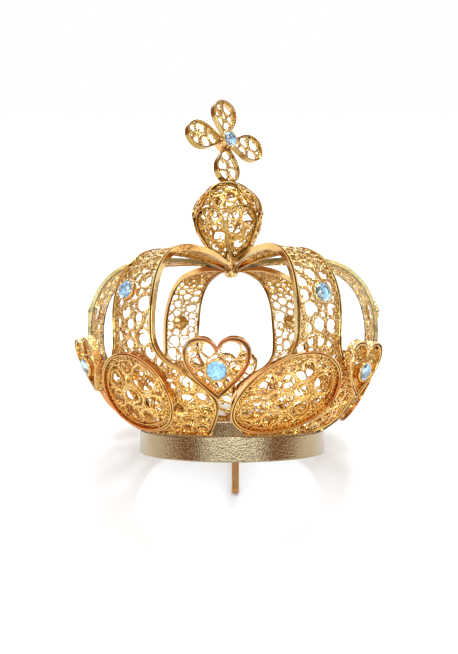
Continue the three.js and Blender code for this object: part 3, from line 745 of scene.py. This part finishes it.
def arch_piece(number):
    name = f"arch_{number + 1}"
    sector = SECTORS[number]
    piece = Piece(name + "_wirework", name, "gilt_wire")
    bend = lambda flat: wall(meridian_of(number), flat)
    distance = np.linspace(0, PROFILE_LENGTH, ARCH_STATIONS)
    left, right = half_widths(number, distance)
    lines, gap_shades = [], []
    for side, reach in ((-1, left), (1, right)):
        for rows, step in ((lines, 0), (gap_shades, TWIN_STEP / 2), (lines, TWIN_STEP)):
            inset = np.minimum(FRAME_WIDTH / 2 + step, reach * MOST_INSET)
            rows.append((np.stack([side * (reach - inset), distance], 1), False))
    # Painted shade: the side arches' frames take the deep olive copy of the strip.
    low, metal = (SIDE_FRAME_LOW, DEEP_SHADE_STRIP) if number in SIDE_ARCHES else (FRAME_LOW, STRIP)
    piece.add(strips(lines, FRAME_WIDTH, low, FRAME_HIGH, metal), bend)
    # Painted shade: a dark strip in the gap between the twin strips.
    piece.add(strips(gap_shades, TWIN_STEP - FRAME_WIDTH, low + 0.1, GAP_SHADE_HIGH, GAP_SHADE), bend)
    laced = (distance > FOOT_HEIGHT) & (distance < PROFILE_LENGTH - LACE_STOPS)
    inset = FRAME_WIDTH + TWIN_STEP
    outline = np.vstack([np.stack([inset - left[laced], distance[laced]], 1),
                         np.stack([right[laced] - inset, distance[laced]], 1)[::-1]])
    stone_at = distance_at_height(ARCH_STONE_HEIGHT + sector["stone_up"])
    setting = [(sector["stone_aside"], stone_at, BEZEL_RADIUS - BEZEL_OVERLAP)]
    covered = petal_line(PETAL_SHAPES[number % 2], COVERED_INSET)
    rounds = pack_rounds(outline, *ARCH_ROUNDS, 11 + number, setting, ARCH_TRIES, covered, DENSE_FROM)
    fill(piece, outline, rounds, bend, *ARCH_CURLS, 100 + 10 * number, setting)
    reach_left, reach_right = half_widths(number, FOOT_HEIGHT)
    foot = np.arange(FOOT_CURL - reach_left, reach_right, 2 * FOOT_CURL)
    foot = np.stack([foot, np.full(len(foot), FOOT_CURL), np.full(len(foot), FOOT_CURL)], 1)
    piece.add(small_curls(foot, -0.3, 0.34, 0.9, 1.3, 0.4, number), bend)
    near, far, start, end = CROSSING_LINES[number % 2]
    t = np.linspace(0, 1, 30)
    aside = (start + (end - start) * t) * RIBBON_HALF_WIDTH + CROSSING_SWING * np.sin(2 * math.pi * t)
    line = np.stack([aside, near + (far - near) * t], 1)
    piece.add(strips([(line, False)], 0.26, -0.5, 0.05, STRIP), bend)
    return piece.finish(), len(rounds)


arches = [arch_piece(k) for k in range(6)]
print("curls in the lace of each arch:", [count for _, count in arches])

# %% [markdown]
# A petal is an oval frame of two strips, raised on the leaf, with a dark strip of painted shade in the gap
# between them. A row of tiny curls follows inside it, then a third thin line, and open curls fill the middle.

# %% The six petals
PETAL_INSETS, PETAL_GAP_SHADE_INSET, PETAL_LINE_INSET, PETAL_FILL_INSET = (0.15, 0.62), 0.385, 1.75, 1.85
PETAL_ROUNDS, PETAL_WINDS = (3.6, 0.9), (1.25, 1.5, 1.9)


def petal_piece(number):
    name = f"petal_{number + 1}"
    shape = PETAL_SHAPES[number % 2]
    rim = SECTORS[number]["petal_rim"]
    piece = Piece(name + "_wirework", name, "gilt_wire")
    bend = lambda flat: wall(meridian_of(number), flat)
    frame_lines = [(petal_line(shape, inset), True) for inset in PETAL_INSETS]
    piece.add(strips(frame_lines, 0.26, PETAL_LOW, rim, PATCHY), bend)
    # Painted shade: a dark strip in the gap between the petal's two frame strips.
    piece.add(strips([(petal_line(shape, PETAL_GAP_SHADE_INSET), True)], 0.2, PETAL_LOW, rim - 0.3, GAP_SHADE), bend)
    piece.add(strips([(petal_line(shape, PETAL_LINE_INSET), True)], 0.2, PETAL_LOW, rim * 0.7, STRIP), bend)
    outline = petal_line(shape, PETAL_FILL_INSET, 120)
    rounds = pack_rounds(outline, *PETAL_ROUNDS, 31 + number)
    fill(piece, outline, rounds, bend, rim * 0.4, 0.36, 0.6, 200 + 10 * number, winds=PETAL_WINDS)
    edge = pack_rounds_between(petal_line(shape, 0.8, 160), petal_line(shape, 1.65, 160))
    piece.add(small_curls(edge, rim * 0.5, 0.24, 0.6, 1.0, 0.6, 7), bend)
    return piece.finish()


def pack_rounds_between(outer, inner):
    """A row of small rounds between two lines that run side by side."""
    middle = (outer + inner) / 2
    steps = np.linalg.norm(middle - np.roll(middle, 1, 0), axis=1)
    width = np.linalg.norm(outer - inner, axis=1)
    rounds, walked = [], 0.0
    for k in range(len(middle)):
        walked += steps[k]
        if walked >= width[k]:
            rounds.append((*middle[k], width[k] / 2))
            walked = 0.0
    return np.array(rounds)


petals = [petal_piece(k) for k in range(6)]
print("petals:", len(petals))

# %% [markdown]
# The hearts stand in the gaps between the arches and lean outward. Each is flat, so a single matrix puts its
# wires in place. The front heart's rim is coppery strip, and the others have twisted wire outside plain
# strip.

# %% The six hearts
HEART_WIDTH, HEART_CLEFT, HEART_RIM_DEPTH = 14.6, 2.7, 1.7
HEART_TIP, HEART_TOP = (36.3, 15.2), (40.6, 28.4)
HEART_HEIGHT = math.dist(HEART_TIP, HEART_TOP)
HEART_LEAN = math.atan2(HEART_TOP[0] - HEART_TIP[0], HEART_TOP[1] - HEART_TIP[1])
HEART_STONE_HEIGHT, HEART_WEB = 6.8, 0.7
FRONT_HEART = 5
HEART_INSETS, HEART_GAP_SHADE_INSET, HEART_FILL_INSET = (0.15, 0.78), 0.465, 0.9
HEART_ROUNDS, HEART_CURLS = (2.2, 0.7), (0.65, 0.42, 0.6)


def heart_line(inset, steps=12):
    half, top, tip = HEART_WIDTH / 2 - inset, HEART_HEIGHT - inset, inset * 1.6
    cleft = HEART_HEIGHT - HEART_CLEFT - inset * 1.5
    right = [
        [(0, tip), (half * 0.36, tip + top * 0.17), (half, top * 0.47), (half, top * 0.75)],
        [(half, top * 0.75), (half, top * 0.92), (half * 0.76, top), (half * 0.5, top)],
        [(half * 0.5, top), (half * 0.25, top), (half * 0.06, top * 0.93), (0, cleft)],
    ]
    half_line = np.vstack([bezier(curve, steps, False) for curve in right] + [[(0, cleft)]])
    return np.vstack([half_line, half_line[-2:0:-1] * (-1, 1)])


def placed(matrix):
    """Bends nothing: puts flat points in place with a matrix."""
    turn = np.array(matrix)
    return lambda flat: np.asarray(flat) @ turn[:3, :3].T + turn[:3, 3]


def heart_matrix(sector):
    return (Matrix.Rotation(math.radians(sector["heart"]), 4, "Z")
            @ Matrix.Translation((0, -HEART_TIP[0], HEART_TIP[1] + sector["heart_up"]))
            @ Matrix.Rotation(math.pi / 2 + HEART_LEAN, 4, "X"))


def heart_piece(number):
    name = f"heart_{number + 1}"
    piece = Piece(name + "_wirework", name, "gilt_wire")
    bend = placed(heart_matrix(SECTORS[number]))
    tones = (COPPERY, COPPERY) if number == FRONT_HEART else (WIRE, STRIP)
    for inset, tone in zip(HEART_INSETS, tones):
        piece.add(strips([(heart_line(inset), True)], 0.3, 0, HEART_RIM_DEPTH, tone), bend)
    # Painted shade: a dark strip in the gap between the heart's two rims.
    piece.add(strips([(heart_line(HEART_GAP_SHADE_INSET), True)], 0.32, 0.1, HEART_RIM_DEPTH - 0.2, GAP_SHADE), bend)
    outline = heart_line(HEART_FILL_INSET)
    setting = [(0, HEART_STONE_HEIGHT, BEZEL_RADIUS - BEZEL_OVERLAP)]
    rounds = pack_rounds(outline, *HEART_ROUNDS, 51 + number, setting, tries=3000)
    fill(piece, outline, rounds, bend, *HEART_CURLS, 300 + 10 * number, setting)
    return piece.finish()


hearts = [heart_piece(k) for k in range(6)]
print("hearts:", len(hearts))

# %% [markdown]
# Some pieces are round: the band, the settings, the stem under the ball. A lathe turns a side profile round
# an axis, and the profile closes on itself or ends on the axis, so that the piece has no open edge.

# %% A lathe
def lathe(section, steps, closed):
    """Turns a section, points of radius and height listed upward on the outside, round the Z axis."""
    points, faces = [], []
    turn = np.linspace(0, 2 * math.pi, steps, endpoint=False)
    rings = []
    for radius, height in section:
        if radius == 0:
            rings.append([len(points)])
            points.append((0, 0, height))
        else:
            rings.append(list(range(len(points), len(points) + steps)))
            points += [(radius * math.cos(a), radius * math.sin(a), height) for a in turn]
    for low, high in zip(rings, rings[1:] + rings[:1] if closed else rings[1:]):
        for k in range(steps):
            n = (k + 1) % steps
            if len(low) == 1:
                faces.append((low[0], high[n], high[k]))
            elif len(high) == 1:
                faces.append((low[k], low[n], high[0]))
            else:
                faces.append((low[k], low[n], high[n], high[k]))
    return as_made(points, faces)


def as_made(points, faces):
    """Points and faces in the form that a piece collects."""
    corners = np.array([c for face in faces for c in face], np.int32)
    lengths = np.array([len(face) for face in faces], np.int32)
    return np.array(points, float), corners, lengths, np.zeros(len(points), np.float32)


# %% [markdown]
# The band is a plain ring of sheet with slightly rounded edges. The strap crosses it, and its middle is
# folded down into a hairpin: the peg that goes into a hole in the statue's head. The strap's section is a
# flat oval with squared shoulders.

# %% The band and the peg
STRAP_WIDTH, STRAP_THICKNESS, STRAP_HEIGHT, STRAP_ASIDE = 1.9, 0.6, 0.6, 0.9
PAST_CORNER, BAND_EDGE_RADIUS, BAND_STEPS = 1.5, 0.22, 192
SIDE_POWER, FACE_POWER = 0.6, 0.8


def rounded(section, radius):
    """A closed section with rounded corners. A point just past each corner's end keeps the walls flat,
    because smooth shading blends the directions of neighbouring faces."""
    section = np.array(section, float)
    points = []
    for before, corner, after in zip(np.roll(section, 1, 0), section, np.roll(section, -1, 0)):
        back = radius * (before - corner) / np.linalg.norm(before - corner)
        on = radius * (after - corner) / np.linalg.norm(after - corner)
        curve = [(1 - t) ** 2 * back + t * t * on for t in (0, 0.5, 1)]
        points += [tuple(corner + step) for step in (back * PAST_CORNER, *curve, on * PAST_CORNER)]
    return points


def as_it_is(points):
    return points


def round_off(value, power):
    """A power of a value's size, with its sign kept: powers below 1 square up an ellipse."""
    return math.copysign(abs(value) ** power, value)


def band_piece():
    piece = Piece("band_ring", "band", "gilt_sheet")
    inner = BAND_RADIUS - BAND_WALL
    corners = [(inner, 0), (BAND_RADIUS, 0), (BAND_RADIUS, BAND_HEIGHT), (inner, BAND_HEIGHT)]
    section = rounded(corners, BAND_EDGE_RADIUS)
    piece.add((lathe(section, BAND_STEPS, True), SHEET), as_it_is, smooth=True)
    return piece.finish()


def peg_piece():
    piece = Piece("peg_strap", "peg", "gilt_sheet")
    reach = math.sqrt((BAND_RADIUS - BAND_WALL) ** 2 - (STRAP_ASIDE + STRAP_WIDTH / 2) ** 2) - SOLDER_GAP
    middle = PEG_HALF_DEPTH - STRAP_THICKNESS / 2
    bend = np.linspace(math.pi, 2 * math.pi, 17)
    level = STRAP_HEIGHT + STRAP_THICKNESS / 2
    line = [(-reach, level), (-middle - 0.5, level), (-middle - 0.1, level - 0.1), (-middle, level - 0.5)]
    line += [(middle * math.cos(a), middle * math.sin(a) - PEG_BEND_DROP) for a in bend]
    line += [(-y, z) for y, z in line[3::-1]]
    line = np.array(line)
    tangent = np.gradient(line, axis=0)
    tangent /= np.linalg.norm(tangent, axis=1)[:, None]
    half, thick = STRAP_WIDTH / 2, STRAP_THICKNESS / 2
    ring = [(half * round_off(math.cos(a), SIDE_POWER), thick * round_off(math.sin(a), FACE_POWER))
            for a in np.linspace(0, 2 * math.pi, 16, endpoint=False)]
    points, faces = [], []
    for (y, z), (ty, tz) in zip(line, tangent):
        points += [(STRAP_ASIDE + aside, y - tz * off, z + ty * off) for aside, off in ring]
    count = len(ring)
    for k in range(len(line) - 1):
        for j in range(count):
            a, b = k * count + j, k * count + (j + 1) % count
            faces.append((a, a + count, b + count, b))
    last = (len(line) - 1) * count
    faces += [tuple(range(count)), tuple(last + k for k in range(count - 1, -1, -1))]
    piece.add((as_made(points, faces), PEG_BRASS), as_it_is, smooth=True)
    return piece.finish()


band_piece()
peg_piece()
print("the peg reaches", PEG_LENGTH, "mm below the band")

# %% [markdown]
# Each stone sits in a cup of strip with small grains pushed over its edge. The stone is a round brilliant:
# a flat table, eight kites and twenty-four small facets above the girdle, and a shallow cone below.

# %% Settings and stones
STONE_RADIUS, BEZEL_HEIGHT, BEZEL_FLOOR = 2.1, 1.3, 0.4
TABLE_SHARE, KITE_SHARE, TABLE_HEIGHT = 0.58, 0.82, 2.0
GRAINS, GRAIN_RADIUS, CUP_STEPS = 14, 0.26, 28


def setting_piece(name, matrix):
    piece = Piece(name + "_cup", name + "_setting", "gilt_wire")
    lip, outside, top, floor_at = STONE_RADIUS + 0.05, BEZEL_RADIUS, BEZEL_HEIGHT, BEZEL_FLOOR
    cup = [(0, 0), (outside - 0.25, 0), (outside - 0.1, 0.15), (outside - 0.02, top - 0.1),
           (outside - 0.12, top + 0.05), (lip + 0.1, top + 0.05), (lip, top - 0.1), (lip - 0.1, floor_at),
           (0, floor_at - 0.1)]
    foil = [(0, floor_at - 0.05), (0.4, floor_at - 0.05), (lip + 0.02, top - 0.32), (lip - 0.02, top - 0.1),
            (0.35, floor_at + 0.08), (0, floor_at + 0.08)]
    for section, material in ((cup, STRIP), (foil, FOIL)):
        piece.add((lathe(section, CUP_STEPS, False), material), placed(matrix), smooth=True)
    grain_at = STONE_RADIUS + 0.22
    for a in np.linspace(0, 2 * math.pi, GRAINS, endpoint=False):
        spot = (grain_at * math.cos(a), grain_at * math.sin(a), top)
        piece.add((grain(spot, GRAIN_RADIUS), WIRE), placed(matrix), smooth=True)
    return piece.finish()


def grain(spot, radius):
    """A small round grain with a few dozen faces."""
    rise = np.radians([-90, -40, 0, 40, 90])
    section = [(0 if abs(a) > 1.5 else radius * math.cos(a), radius * math.sin(a)) for a in rise]
    points, corners, lengths, along = lathe(section, 8, False)
    return points + np.array(spot), corners, lengths, along


def stone_ring(share, height, first, count):
    """Corners round a stone, at a share of its radius, eight or sixteen to the turn."""
    radius, step = STONE_RADIUS * share, math.pi / 8
    turn = [(k * 16 / count + first) * step for k in range(count)]
    return [(radius * math.cos(a), radius * math.sin(a), height) for a in turn]


def stone_piece(name, matrix):
    piece = Piece(name + "_rhinestone", name + "_stone", "blue_stone")
    points = [(0, 0, BEZEL_FLOOR + SOLDER_GAP)]
    points += stone_ring(TABLE_SHARE, TABLE_HEIGHT, 0, 8)
    points += stone_ring(KITE_SHARE, BEZEL_HEIGHT + 0.42, 1, 8)
    points += stone_ring(1, BEZEL_HEIGHT + 0.08, 0, 16)
    points += stone_ring(1, BEZEL_HEIGHT - 0.05, 0, 16)
    table, kite, upper, lower = 1, 9, 17, 33
    faces = [tuple(table + k for k in range(8))]
    for k in range(8):
        n = (k + 1) % 8
        left, mid, right = upper + 2 * k, upper + 2 * k + 1, upper + (2 * k + 2) % 16
        faces += [(table + k, kite + k, table + n), (kite + k, left, mid), (kite + k, mid, right)]
        faces += [(table + n, kite + k, right, kite + n)]
    for k in range(16):
        n = (k + 1) % 16
        faces += [(upper + k, lower + k, lower + n, upper + n), (lower + n, lower + k, 0)]
    piece.add((as_made(points, faces), GLASS), placed(matrix))
    return piece.finish()


def facing(point, direction):
    """A matrix that puts something at a point, with its top toward a direction."""
    turn = Vector((0, 0, 1)).rotation_difference(Vector(direction).normalized())
    return Matrix.Translation(point) @ turn.to_matrix().to_4x4()


ARCH_WEB_DROP = 0.45


def arch_seat(number):
    sector, meridian = SECTORS[number], meridian_of(number)
    distance = distance_at_height(ARCH_STONE_HEIGHT + sector["stone_up"])
    flat = [(sector["stone_aside"], distance, SOLDER_GAP - ARCH_WEB_DROP)]
    out, up = off_the_wall(distance)
    return facing(wall(meridian, flat)[0], (out * math.sin(meridian), -out * math.cos(meridian), up))


seats = {f"arch_{k + 1}": arch_seat(k) for k in range(6)}
heart_seat = Matrix.Translation((0, HEART_STONE_HEIGHT, HEART_WEB + SOLDER_GAP))
seats |= {f"heart_{k + 1}": heart_matrix(SECTORS[k]) @ heart_seat for k in range(6)}

# %% [markdown]
# The ball and the cross are one finial, soldered a little crooked. The cross stands upright on the leaning
# ball, turned to one side and leaning back.

# %% Where the ball and the cross stand
ORB_RADIUS, ORB_MIDDLE, CROSS_ARM, CROSS_SIDE_ARM = 9.95, 64.3, 12.4, 13.1
CROSS_YAW, CROSS_LEAN_BACK, FINIAL_LEAN = (math.radians(a) for a in (36.5, 5, -3.4))
FINIAL_ASIDE, CROSS_ASIDE, BOSS_TOP = -0.4, 0.5, 1
finial = Matrix.Translation((FINIAL_ASIDE, 0, CROWN_TOP)) @ Matrix.Rotation(FINIAL_LEAN, 4, "Y")
orb_frame = finial @ Matrix.Translation((0, 0, -CROWN_TOP))
cross_foot = (CROSS_ASIDE, 0, ORB_MIDDLE + ORB_RADIUS + SOLDER_GAP - CROWN_TOP)
cross_frame = (finial @ Matrix.Translation(cross_foot)
               @ Matrix.Rotation(-FINIAL_LEAN, 4, "Y") @ Matrix.Rotation(CROSS_YAW, 4, "Z")
               @ Matrix.Rotation(math.pi / 2 - CROSS_LEAN_BACK, 4, "X")
               @ Matrix.Translation((0, CROSS_ARM, 0)))
seats["cross"] = cross_frame @ Matrix.Translation((0, 0, BOSS_TOP + SOLDER_GAP))
for seat_name, seat in seats.items():
    setting_piece(seat_name, seat)
    stone_piece(seat_name, seat)
print("settings and stones:", 2 * len(seats))

# %% [markdown]
# The ball is made of cells. Six round loops stand on its upper half, six drops between them run down to the
# stem, and one more loop lies on the crest. Each cell is drawn flat, and pressed onto the ball from its own
# middle. A deep olive line of painted shade runs inside each bright frame, for the frame's shaded side, and
# small curls fill the gaps between the cells.

# %% The ball and its stem
CELLS = 6
CELL_TURN = math.radians(-5)
UPPER_LATITUDE, LOWER_LATITUDE = math.radians(31), math.radians(-20)
UPPER_CELL = dict(width=8.0, top=5.6, bottom=5.6, point=2.6)
LOWER_CELL = dict(width=9.2, top=4.6, bottom=11.0, point=0.5)
CREST_CELL = dict(width=8.6, top=4.3, bottom=4.3, point=2.4)
CELL_LINE_INSET, CELL_FILL_INSET = 0.21, 0.3
CELL_ROUNDS, CELL_CURLS, CELL_WINDS = (2.8, 0.6), (-0.45, 0.4, 0.6), (1.25, 1.5, 1.8)
UPPER_GAP_LATITUDE, LOWER_GAP_LATITUDE = math.radians(22), math.radians(-16)
UPPER_GAP = np.array([(0, 0, 1.4), (0, 2.3, 0.9)])
LOWER_GAP = np.array([(0, -y, 0.9 - 0.04 * y) for y in np.arange(0, 10, 1.3)])
GAP_CURLS = (-0.3, 0.34, 0.5, 1.3, 0.4)
STEM_RADIUS, RIVET_RADIUS, RIVET_HEIGHT = 1.5, 2.0, 47.4
# Below these latitudes the ball runs down to its stem like an onion.
NECK_LATITUDES, NECK_RADII, NECK_HEIGHTS = (-90, -58, -32), (1.5, 6.2, 8.44), (52, 55, 59.03)


def on_ball(azimuth, latitude):
    """Presses flat points onto the ball round a middle given by its azimuth and latitude."""
    level = np.array([math.sin(azimuth), -math.cos(azimuth), 0])
    out = level * math.cos(latitude) + (0, 0, math.sin(latitude))
    side = np.array([math.cos(azimuth), math.sin(azimuth), 0])
    up = np.cross(out, side)

    def bend(flat):
        flat = np.asarray(flat, float)
        walked = np.linalg.norm(flat[:, :2], axis=1)[:, None]
        toward = (flat[:, :1] * side + flat[:, 1:2] * up) / np.maximum(walked, 1e-9)
        ray = out * np.cos(walked / ORB_RADIUS) + toward * np.sin(walked / ORB_RADIUS)
        rise = np.degrees(np.arcsin(np.clip(ray[:, 2], -1, 1)))
        sideways = np.hypot(ray[:, 0], ray[:, 1])
        spot = ray * (ORB_RADIUS + flat[:, 2:3])
        low = rise < NECK_LATITUDES[-1]
        radius = np.interp(rise[low], NECK_LATITUDES, NECK_RADII) + flat[low, 2] * 0.6
        spot[low, :2] = ray[low, :2] / np.maximum(sideways[low], 1e-9)[:, None] * radius[:, None]
        spot[low, 2] = np.interp(rise[low], NECK_LATITUDES, NECK_HEIGHTS) - flat[low, 2] * 0.8 - ORB_MIDDLE
        return placed(orb_frame)(spot + (0, 0, ORB_MIDDLE))
    return bend


def drop_line(width, top, bottom, point, inset=0.0, steps=12):
    """A closed line round zero with a round top, and below it a point or, with a wider point, a round end."""
    half, top, bottom = width / 2 - inset, top - inset, bottom - inset * 1.3
    right = [
        [(0, -bottom), (point, -bottom), (half, -bottom * 0.5), (half, top * 0.1)],
        [(half, top * 0.1), (half, top * 0.7), (half * 0.6, top), (0, top)],
    ]
    line = np.vstack([bezier(curve, steps, False) for curve in right] + [[(0, top)]])
    return np.vstack([line, line[-2:0:-1] * (-1, 1)])


def orb_cell(piece, bend, cell, seed):
    """One framed cell of the ball, its curls a little lower than its frame."""
    piece.add(strips([(drop_line(**cell), True)], 0.24, -0.7, 0.35, STRIP), bend)
    # Painted shade: a deep olive line just inside the frame.
    piece.add(strips([(drop_line(**cell, inset=CELL_LINE_INSET), True)], 0.2, -0.7, 0.2, DEEP_SHADE_STRIP), bend)
    outline = drop_line(**cell, inset=CELL_FILL_INSET, steps=24)
    rounds = pack_rounds(outline, *CELL_ROUNDS, seed, tries=3500)
    fill(piece, outline, rounds, bend, *CELL_CURLS, seed * 7, winds=CELL_WINDS)


def orb_piece():
    piece = Piece("orb_wirework", "orb", "gilt_wire")
    for k in range(CELLS):
        azimuth = CELL_TURN + 2 * math.pi * k / CELLS
        between = azimuth + math.pi / CELLS
        orb_cell(piece, on_ball(azimuth, UPPER_LATITUDE), UPPER_CELL, 61 + k)
        orb_cell(piece, on_ball(between, LOWER_LATITUDE), LOWER_CELL, 71 + k)
        piece.add(small_curls(UPPER_GAP, *GAP_CURLS, k), on_ball(between, UPPER_GAP_LATITUDE))
        piece.add(small_curls(LOWER_GAP, *GAP_CURLS, k), on_ball(azimuth, LOWER_GAP_LATITUDE))
    orb_cell(piece, on_ball(0, math.pi / 2), CREST_CELL, 91)
    stem = [(0, RIVET_HEIGHT), (RIVET_RADIUS * 0.8, RIVET_HEIGHT + 0.3), (RIVET_RADIUS, RIVET_HEIGHT + 1.2),
            (STEM_RADIUS, RIVET_HEIGHT + 1.8), (STEM_RADIUS, CROWN_TOP), (2.4, 52.6), (2.2, 53), (0, 53)]
    piece.add((lathe(stem, 32, False), WIRE), placed(orb_frame), smooth=True)
    return piece.finish()


orb_piece()
print("cells on the ball:", 2 * CELLS + 1)

# %% [markdown]
# The cross has four drop-shaped arms of deep strip, in a darker copy painted as shade, with a few curls in
# each, round a boss that holds a stone.

# %% The cross
CROSS_PETAL_WIDTH, CROSS_DEPTH, BOSS_RADIUS, BOSS_BACK = 7.9, 2.1, 2.4, 3.2
ARM_FRAME_WIDTH, ARM_FRAME_INSET, ARM_FILL_INSET = 0.46, 0.22, 0.42
ARM_ROUNDS, ARM_CURLS = (1.8, 0.7), (0, 0.4, 0.8)
LARGE_PIECE = 20000


def arm_line(reach, inset=0.0, steps=12):
    half, length, start = CROSS_PETAL_WIDTH / 2 - inset, reach - inset, 1 + inset * 3
    right = [
        [(0.3, start), (half * 0.6, length * 0.36), (half, length * 0.5), (half, length * 0.68)],
        [(half, length * 0.68), (half, length * 0.88), (half * 0.55, length), (0, length)],
    ]
    line = np.vstack([bezier(curve, steps, False) for curve in right] + [[(0, length)]])
    return np.vstack([line, line[-2::-1] * (-1, 1)])


def cross_piece():
    piece = Piece("cross_wirework", "cross", "gilt_wire")
    for k, reach in enumerate((CROSS_ARM, CROSS_SIDE_ARM, CROSS_ARM, CROSS_SIDE_ARM)):
        bend = placed(cross_frame @ Matrix.Rotation(math.pi / 2 * k, 4, "Z"))
        frame_line = [(arm_line(reach, ARM_FRAME_INSET), True)]
        # Painted shade: the arms' frames take the darker copy of the strip.
        piece.add(strips(frame_line, ARM_FRAME_WIDTH, -CROSS_DEPTH / 2, CROSS_DEPTH / 2, SHADED), bend)
        outline, boss_place = arm_line(reach, ARM_FILL_INSET, 24), [(0, 0, BOSS_RADIUS)]
        rounds = pack_rounds(outline, *ARM_ROUNDS, 81 + k, boss_place, tries=2500)
        fill(piece, outline, rounds, bend, *ARM_CURLS, 500 + 10 * k, boss_place)
    boss = [(0, -BOSS_BACK), (BOSS_RADIUS * 0.7, -BOSS_BACK + 0.2), (BOSS_RADIUS * 0.8, -BOSS_BACK + 0.8),
            (BOSS_RADIUS, 0.6), (BOSS_RADIUS - 0.3, BOSS_TOP), (0, BOSS_TOP)]
    piece.add((lathe(boss, 32, False), STRIP), placed(cross_frame), smooth=True)
    return piece.finish()


cross_piece()
for name, triangles, volume in tally:
    if volume <= 0 or triangles > LARGE_PIECE:
        print("check", name, triangles, round(volume, 2))
print("triangles in all:", sum(triangles for _, triangles, _ in tally))

# %% [markdown]
# The camera stands where the photographer's did. The photograph looks straight at the crown's front, and the
# crown leans back here, so the same view looks down on it by some twenty degrees.

# %% The camera
CAMERA_AT, CAMERA_PITCH = (-0.83, -165.7, 19.3), math.radians(4.95)
PHOTO_HEIGHT, FOCAL_PIXELS, SENSOR = 654, 600, 36
camera_data = bpy.data.cameras.new("camera")
camera_data.sensor_width = SENSOR
camera_data.lens = SENSOR * FOCAL_PIXELS / PHOTO_HEIGHT
camera_data.clip_start = 0.01
camera = bpy.data.objects.new("camera", camera_data)
camera.location = on_table([CAMERA_AT])[0]
camera.rotation_euler = (math.pi / 2 + CAMERA_PITCH - REST_LEAN, 0, 0)
bpy.context.scene.collection.objects.link(camera)
bpy.context.scene.camera = camera
print("camera at", [round(v, 4) for v in camera.location])

# %% [markdown]
# The crown stands on a plain pale floor, which glows softly further back and so fades into the backdrop.
# Polished metal shows what is round it, so the surroundings matter more than the lamps: grey in front, brown
# at both sides, and white above and behind, which gives every rounded wire a light and a dark flank. The
# camera itself sees a plain white backdrop. Three long narrow lamps in front put short sparks on the metal,
# and a softbox above gives the soft shadow.

# %% The floor, the surroundings and the lamps
FLOOR_HALF, GLOW_STARTS, GLOW_ENDS = 6, 0.35, 1.2
ROOM_LIGHT, FRONT_LAMPS = 1.5, 3
floor_mesh = bpy.data.meshes.new("floor")
floor_corners = [(x * FLOOR_HALF, y * FLOOR_HALF, 0) for x, y in ((-1, -1), (1, -1), (1, 1), (-1, 1))]
floor_mesh.from_pydata(floor_corners, [], [(0, 1, 2, 3)])
floor = bpy.data.objects.new("floor", floor_mesh)
bpy.context.scene.collection.objects.link(floor)
floor_paper = bpy.data.materials.new("matt_white_paper")
floor_paper.use_nodes = True
paper = floor_paper.node_tree
paper_shader = paper.nodes["Principled BSDF"]
paper_shader.inputs["Base Color"].default_value = linear("#F6F6F4")
paper_shader.inputs["Roughness"].default_value = 0.9
on_floor = add_node(paper, "ShaderNodeTexCoord").outputs["Object"]
floor_axes = add_node(paper, "ShaderNodeSeparateXYZ", {"Vector": on_floor}).outputs
# Painted glow: the paper gives off light, from none near the crown to full further back.
lit = add_node(paper, "ShaderNodeMapRange",
               {"Value": floor_axes["Y"], "From Min": GLOW_STARTS, "From Max": GLOW_ENDS, "To Min": 0.0,
                "To Max": 1.0}, interpolation_type="SMOOTHSTEP")
paper_shader.inputs["Emission Color"].default_value = linear("#FFFFFF")
paper.links.new(lit.outputs[0], paper_shader.inputs["Emission Strength"])
floor_mesh.materials.append(floor_paper)


def studio_world():
    world = bpy.data.worlds.new("studio")
    bpy.context.scene.world = world
    world.use_nodes = True
    tree = world.node_tree
    tree.nodes.clear()
    direction = add_node(tree, "ShaderNodeTexCoord").outputs["Generated"]
    axes = add_node(tree, "ShaderNodeSeparateXYZ", {"Vector": direction}).outputs
    sideways = add_node(tree, "ShaderNodeMath", {0: axes["X"]}, operation="ABSOLUTE").outputs[0]
    to_sides = add_node(tree, "ShaderNodeMapRange", {"Value": sideways, "From Min": 0.45, "From Max": 0.7},
                        interpolation_type="SMOOTHSTEP").outputs[0]
    walls = add_node(tree, "ShaderNodeMix",
                     {"Factor": to_sides, "A": linear("#A8A8A8"), "B": linear("#93684A")},
                     data_type="RGBA").outputs["Result"]
    upward = add_node(tree, "ShaderNodeMapRange", {"Value": axes["Z"], "From Min": 0.5, "From Max": 0.75},
                      interpolation_type="SMOOTHSTEP").outputs[0]
    behind = add_node(tree, "ShaderNodeMapRange", {"Value": axes["Y"], "From Min": 0.78, "From Max": 0.9},
                      interpolation_type="SMOOTHSTEP").outputs[0]
    white = add_node(tree, "ShaderNodeMath", {0: upward, 1: behind}, operation="MAXIMUM").outputs[0]
    room = add_node(tree, "ShaderNodeMix", {"Factor": white, "A": walls, "B": linear("#FFFFFF")},
                    data_type="RGBA").outputs["Result"]
    seen_directly = add_node(tree, "ShaderNodeLightPath").outputs["Is Camera Ray"]
    studio = add_node(tree, "ShaderNodeBackground", {"Color": room, "Strength": ROOM_LIGHT})
    backdrop = add_node(tree, "ShaderNodeBackground", {"Color": linear("#FFFFFF"), "Strength": 1.0})
    sky = add_node(tree, "ShaderNodeMixShader",
                   {0: seen_directly, 1: studio.outputs[0], 2: backdrop.outputs[0]})
    add_node(tree, "ShaderNodeOutputWorld", {"Surface": sky.outputs[0]})


studio_world()


def softbox(name, place, target, size, power):
    light = bpy.data.lights.new(name, "AREA")
    light.shape = "RECTANGLE"
    light.size, light.size_y = size
    light.energy = power
    light.color = linear("#D4EAFF")[:3]
    lamp = bpy.data.objects.new(name, light)
    lamp.location = place
    lamp.rotation_euler = (Vector(target) - Vector(place)).to_track_quat("-Z", "Y").to_euler()
    bpy.context.scene.collection.objects.link(lamp)


for k in range(FRONT_LAMPS):
    softbox(f"front_lamp_{k + 1}", (0, -0.7, 0.3 + 0.1 * k), (0, 0, 0.04), (1.2, 0.05), 1.2)
softbox("top_softbox", (0.1, 0.2, 1.0), (0, 0, 0.05), (0.3, 0.3), 6)
scene = bpy.context.scene
scene.view_settings.view_transform = "Standard"
scene.view_settings.look = "None"
print("lights:", len(bpy.data.lights))
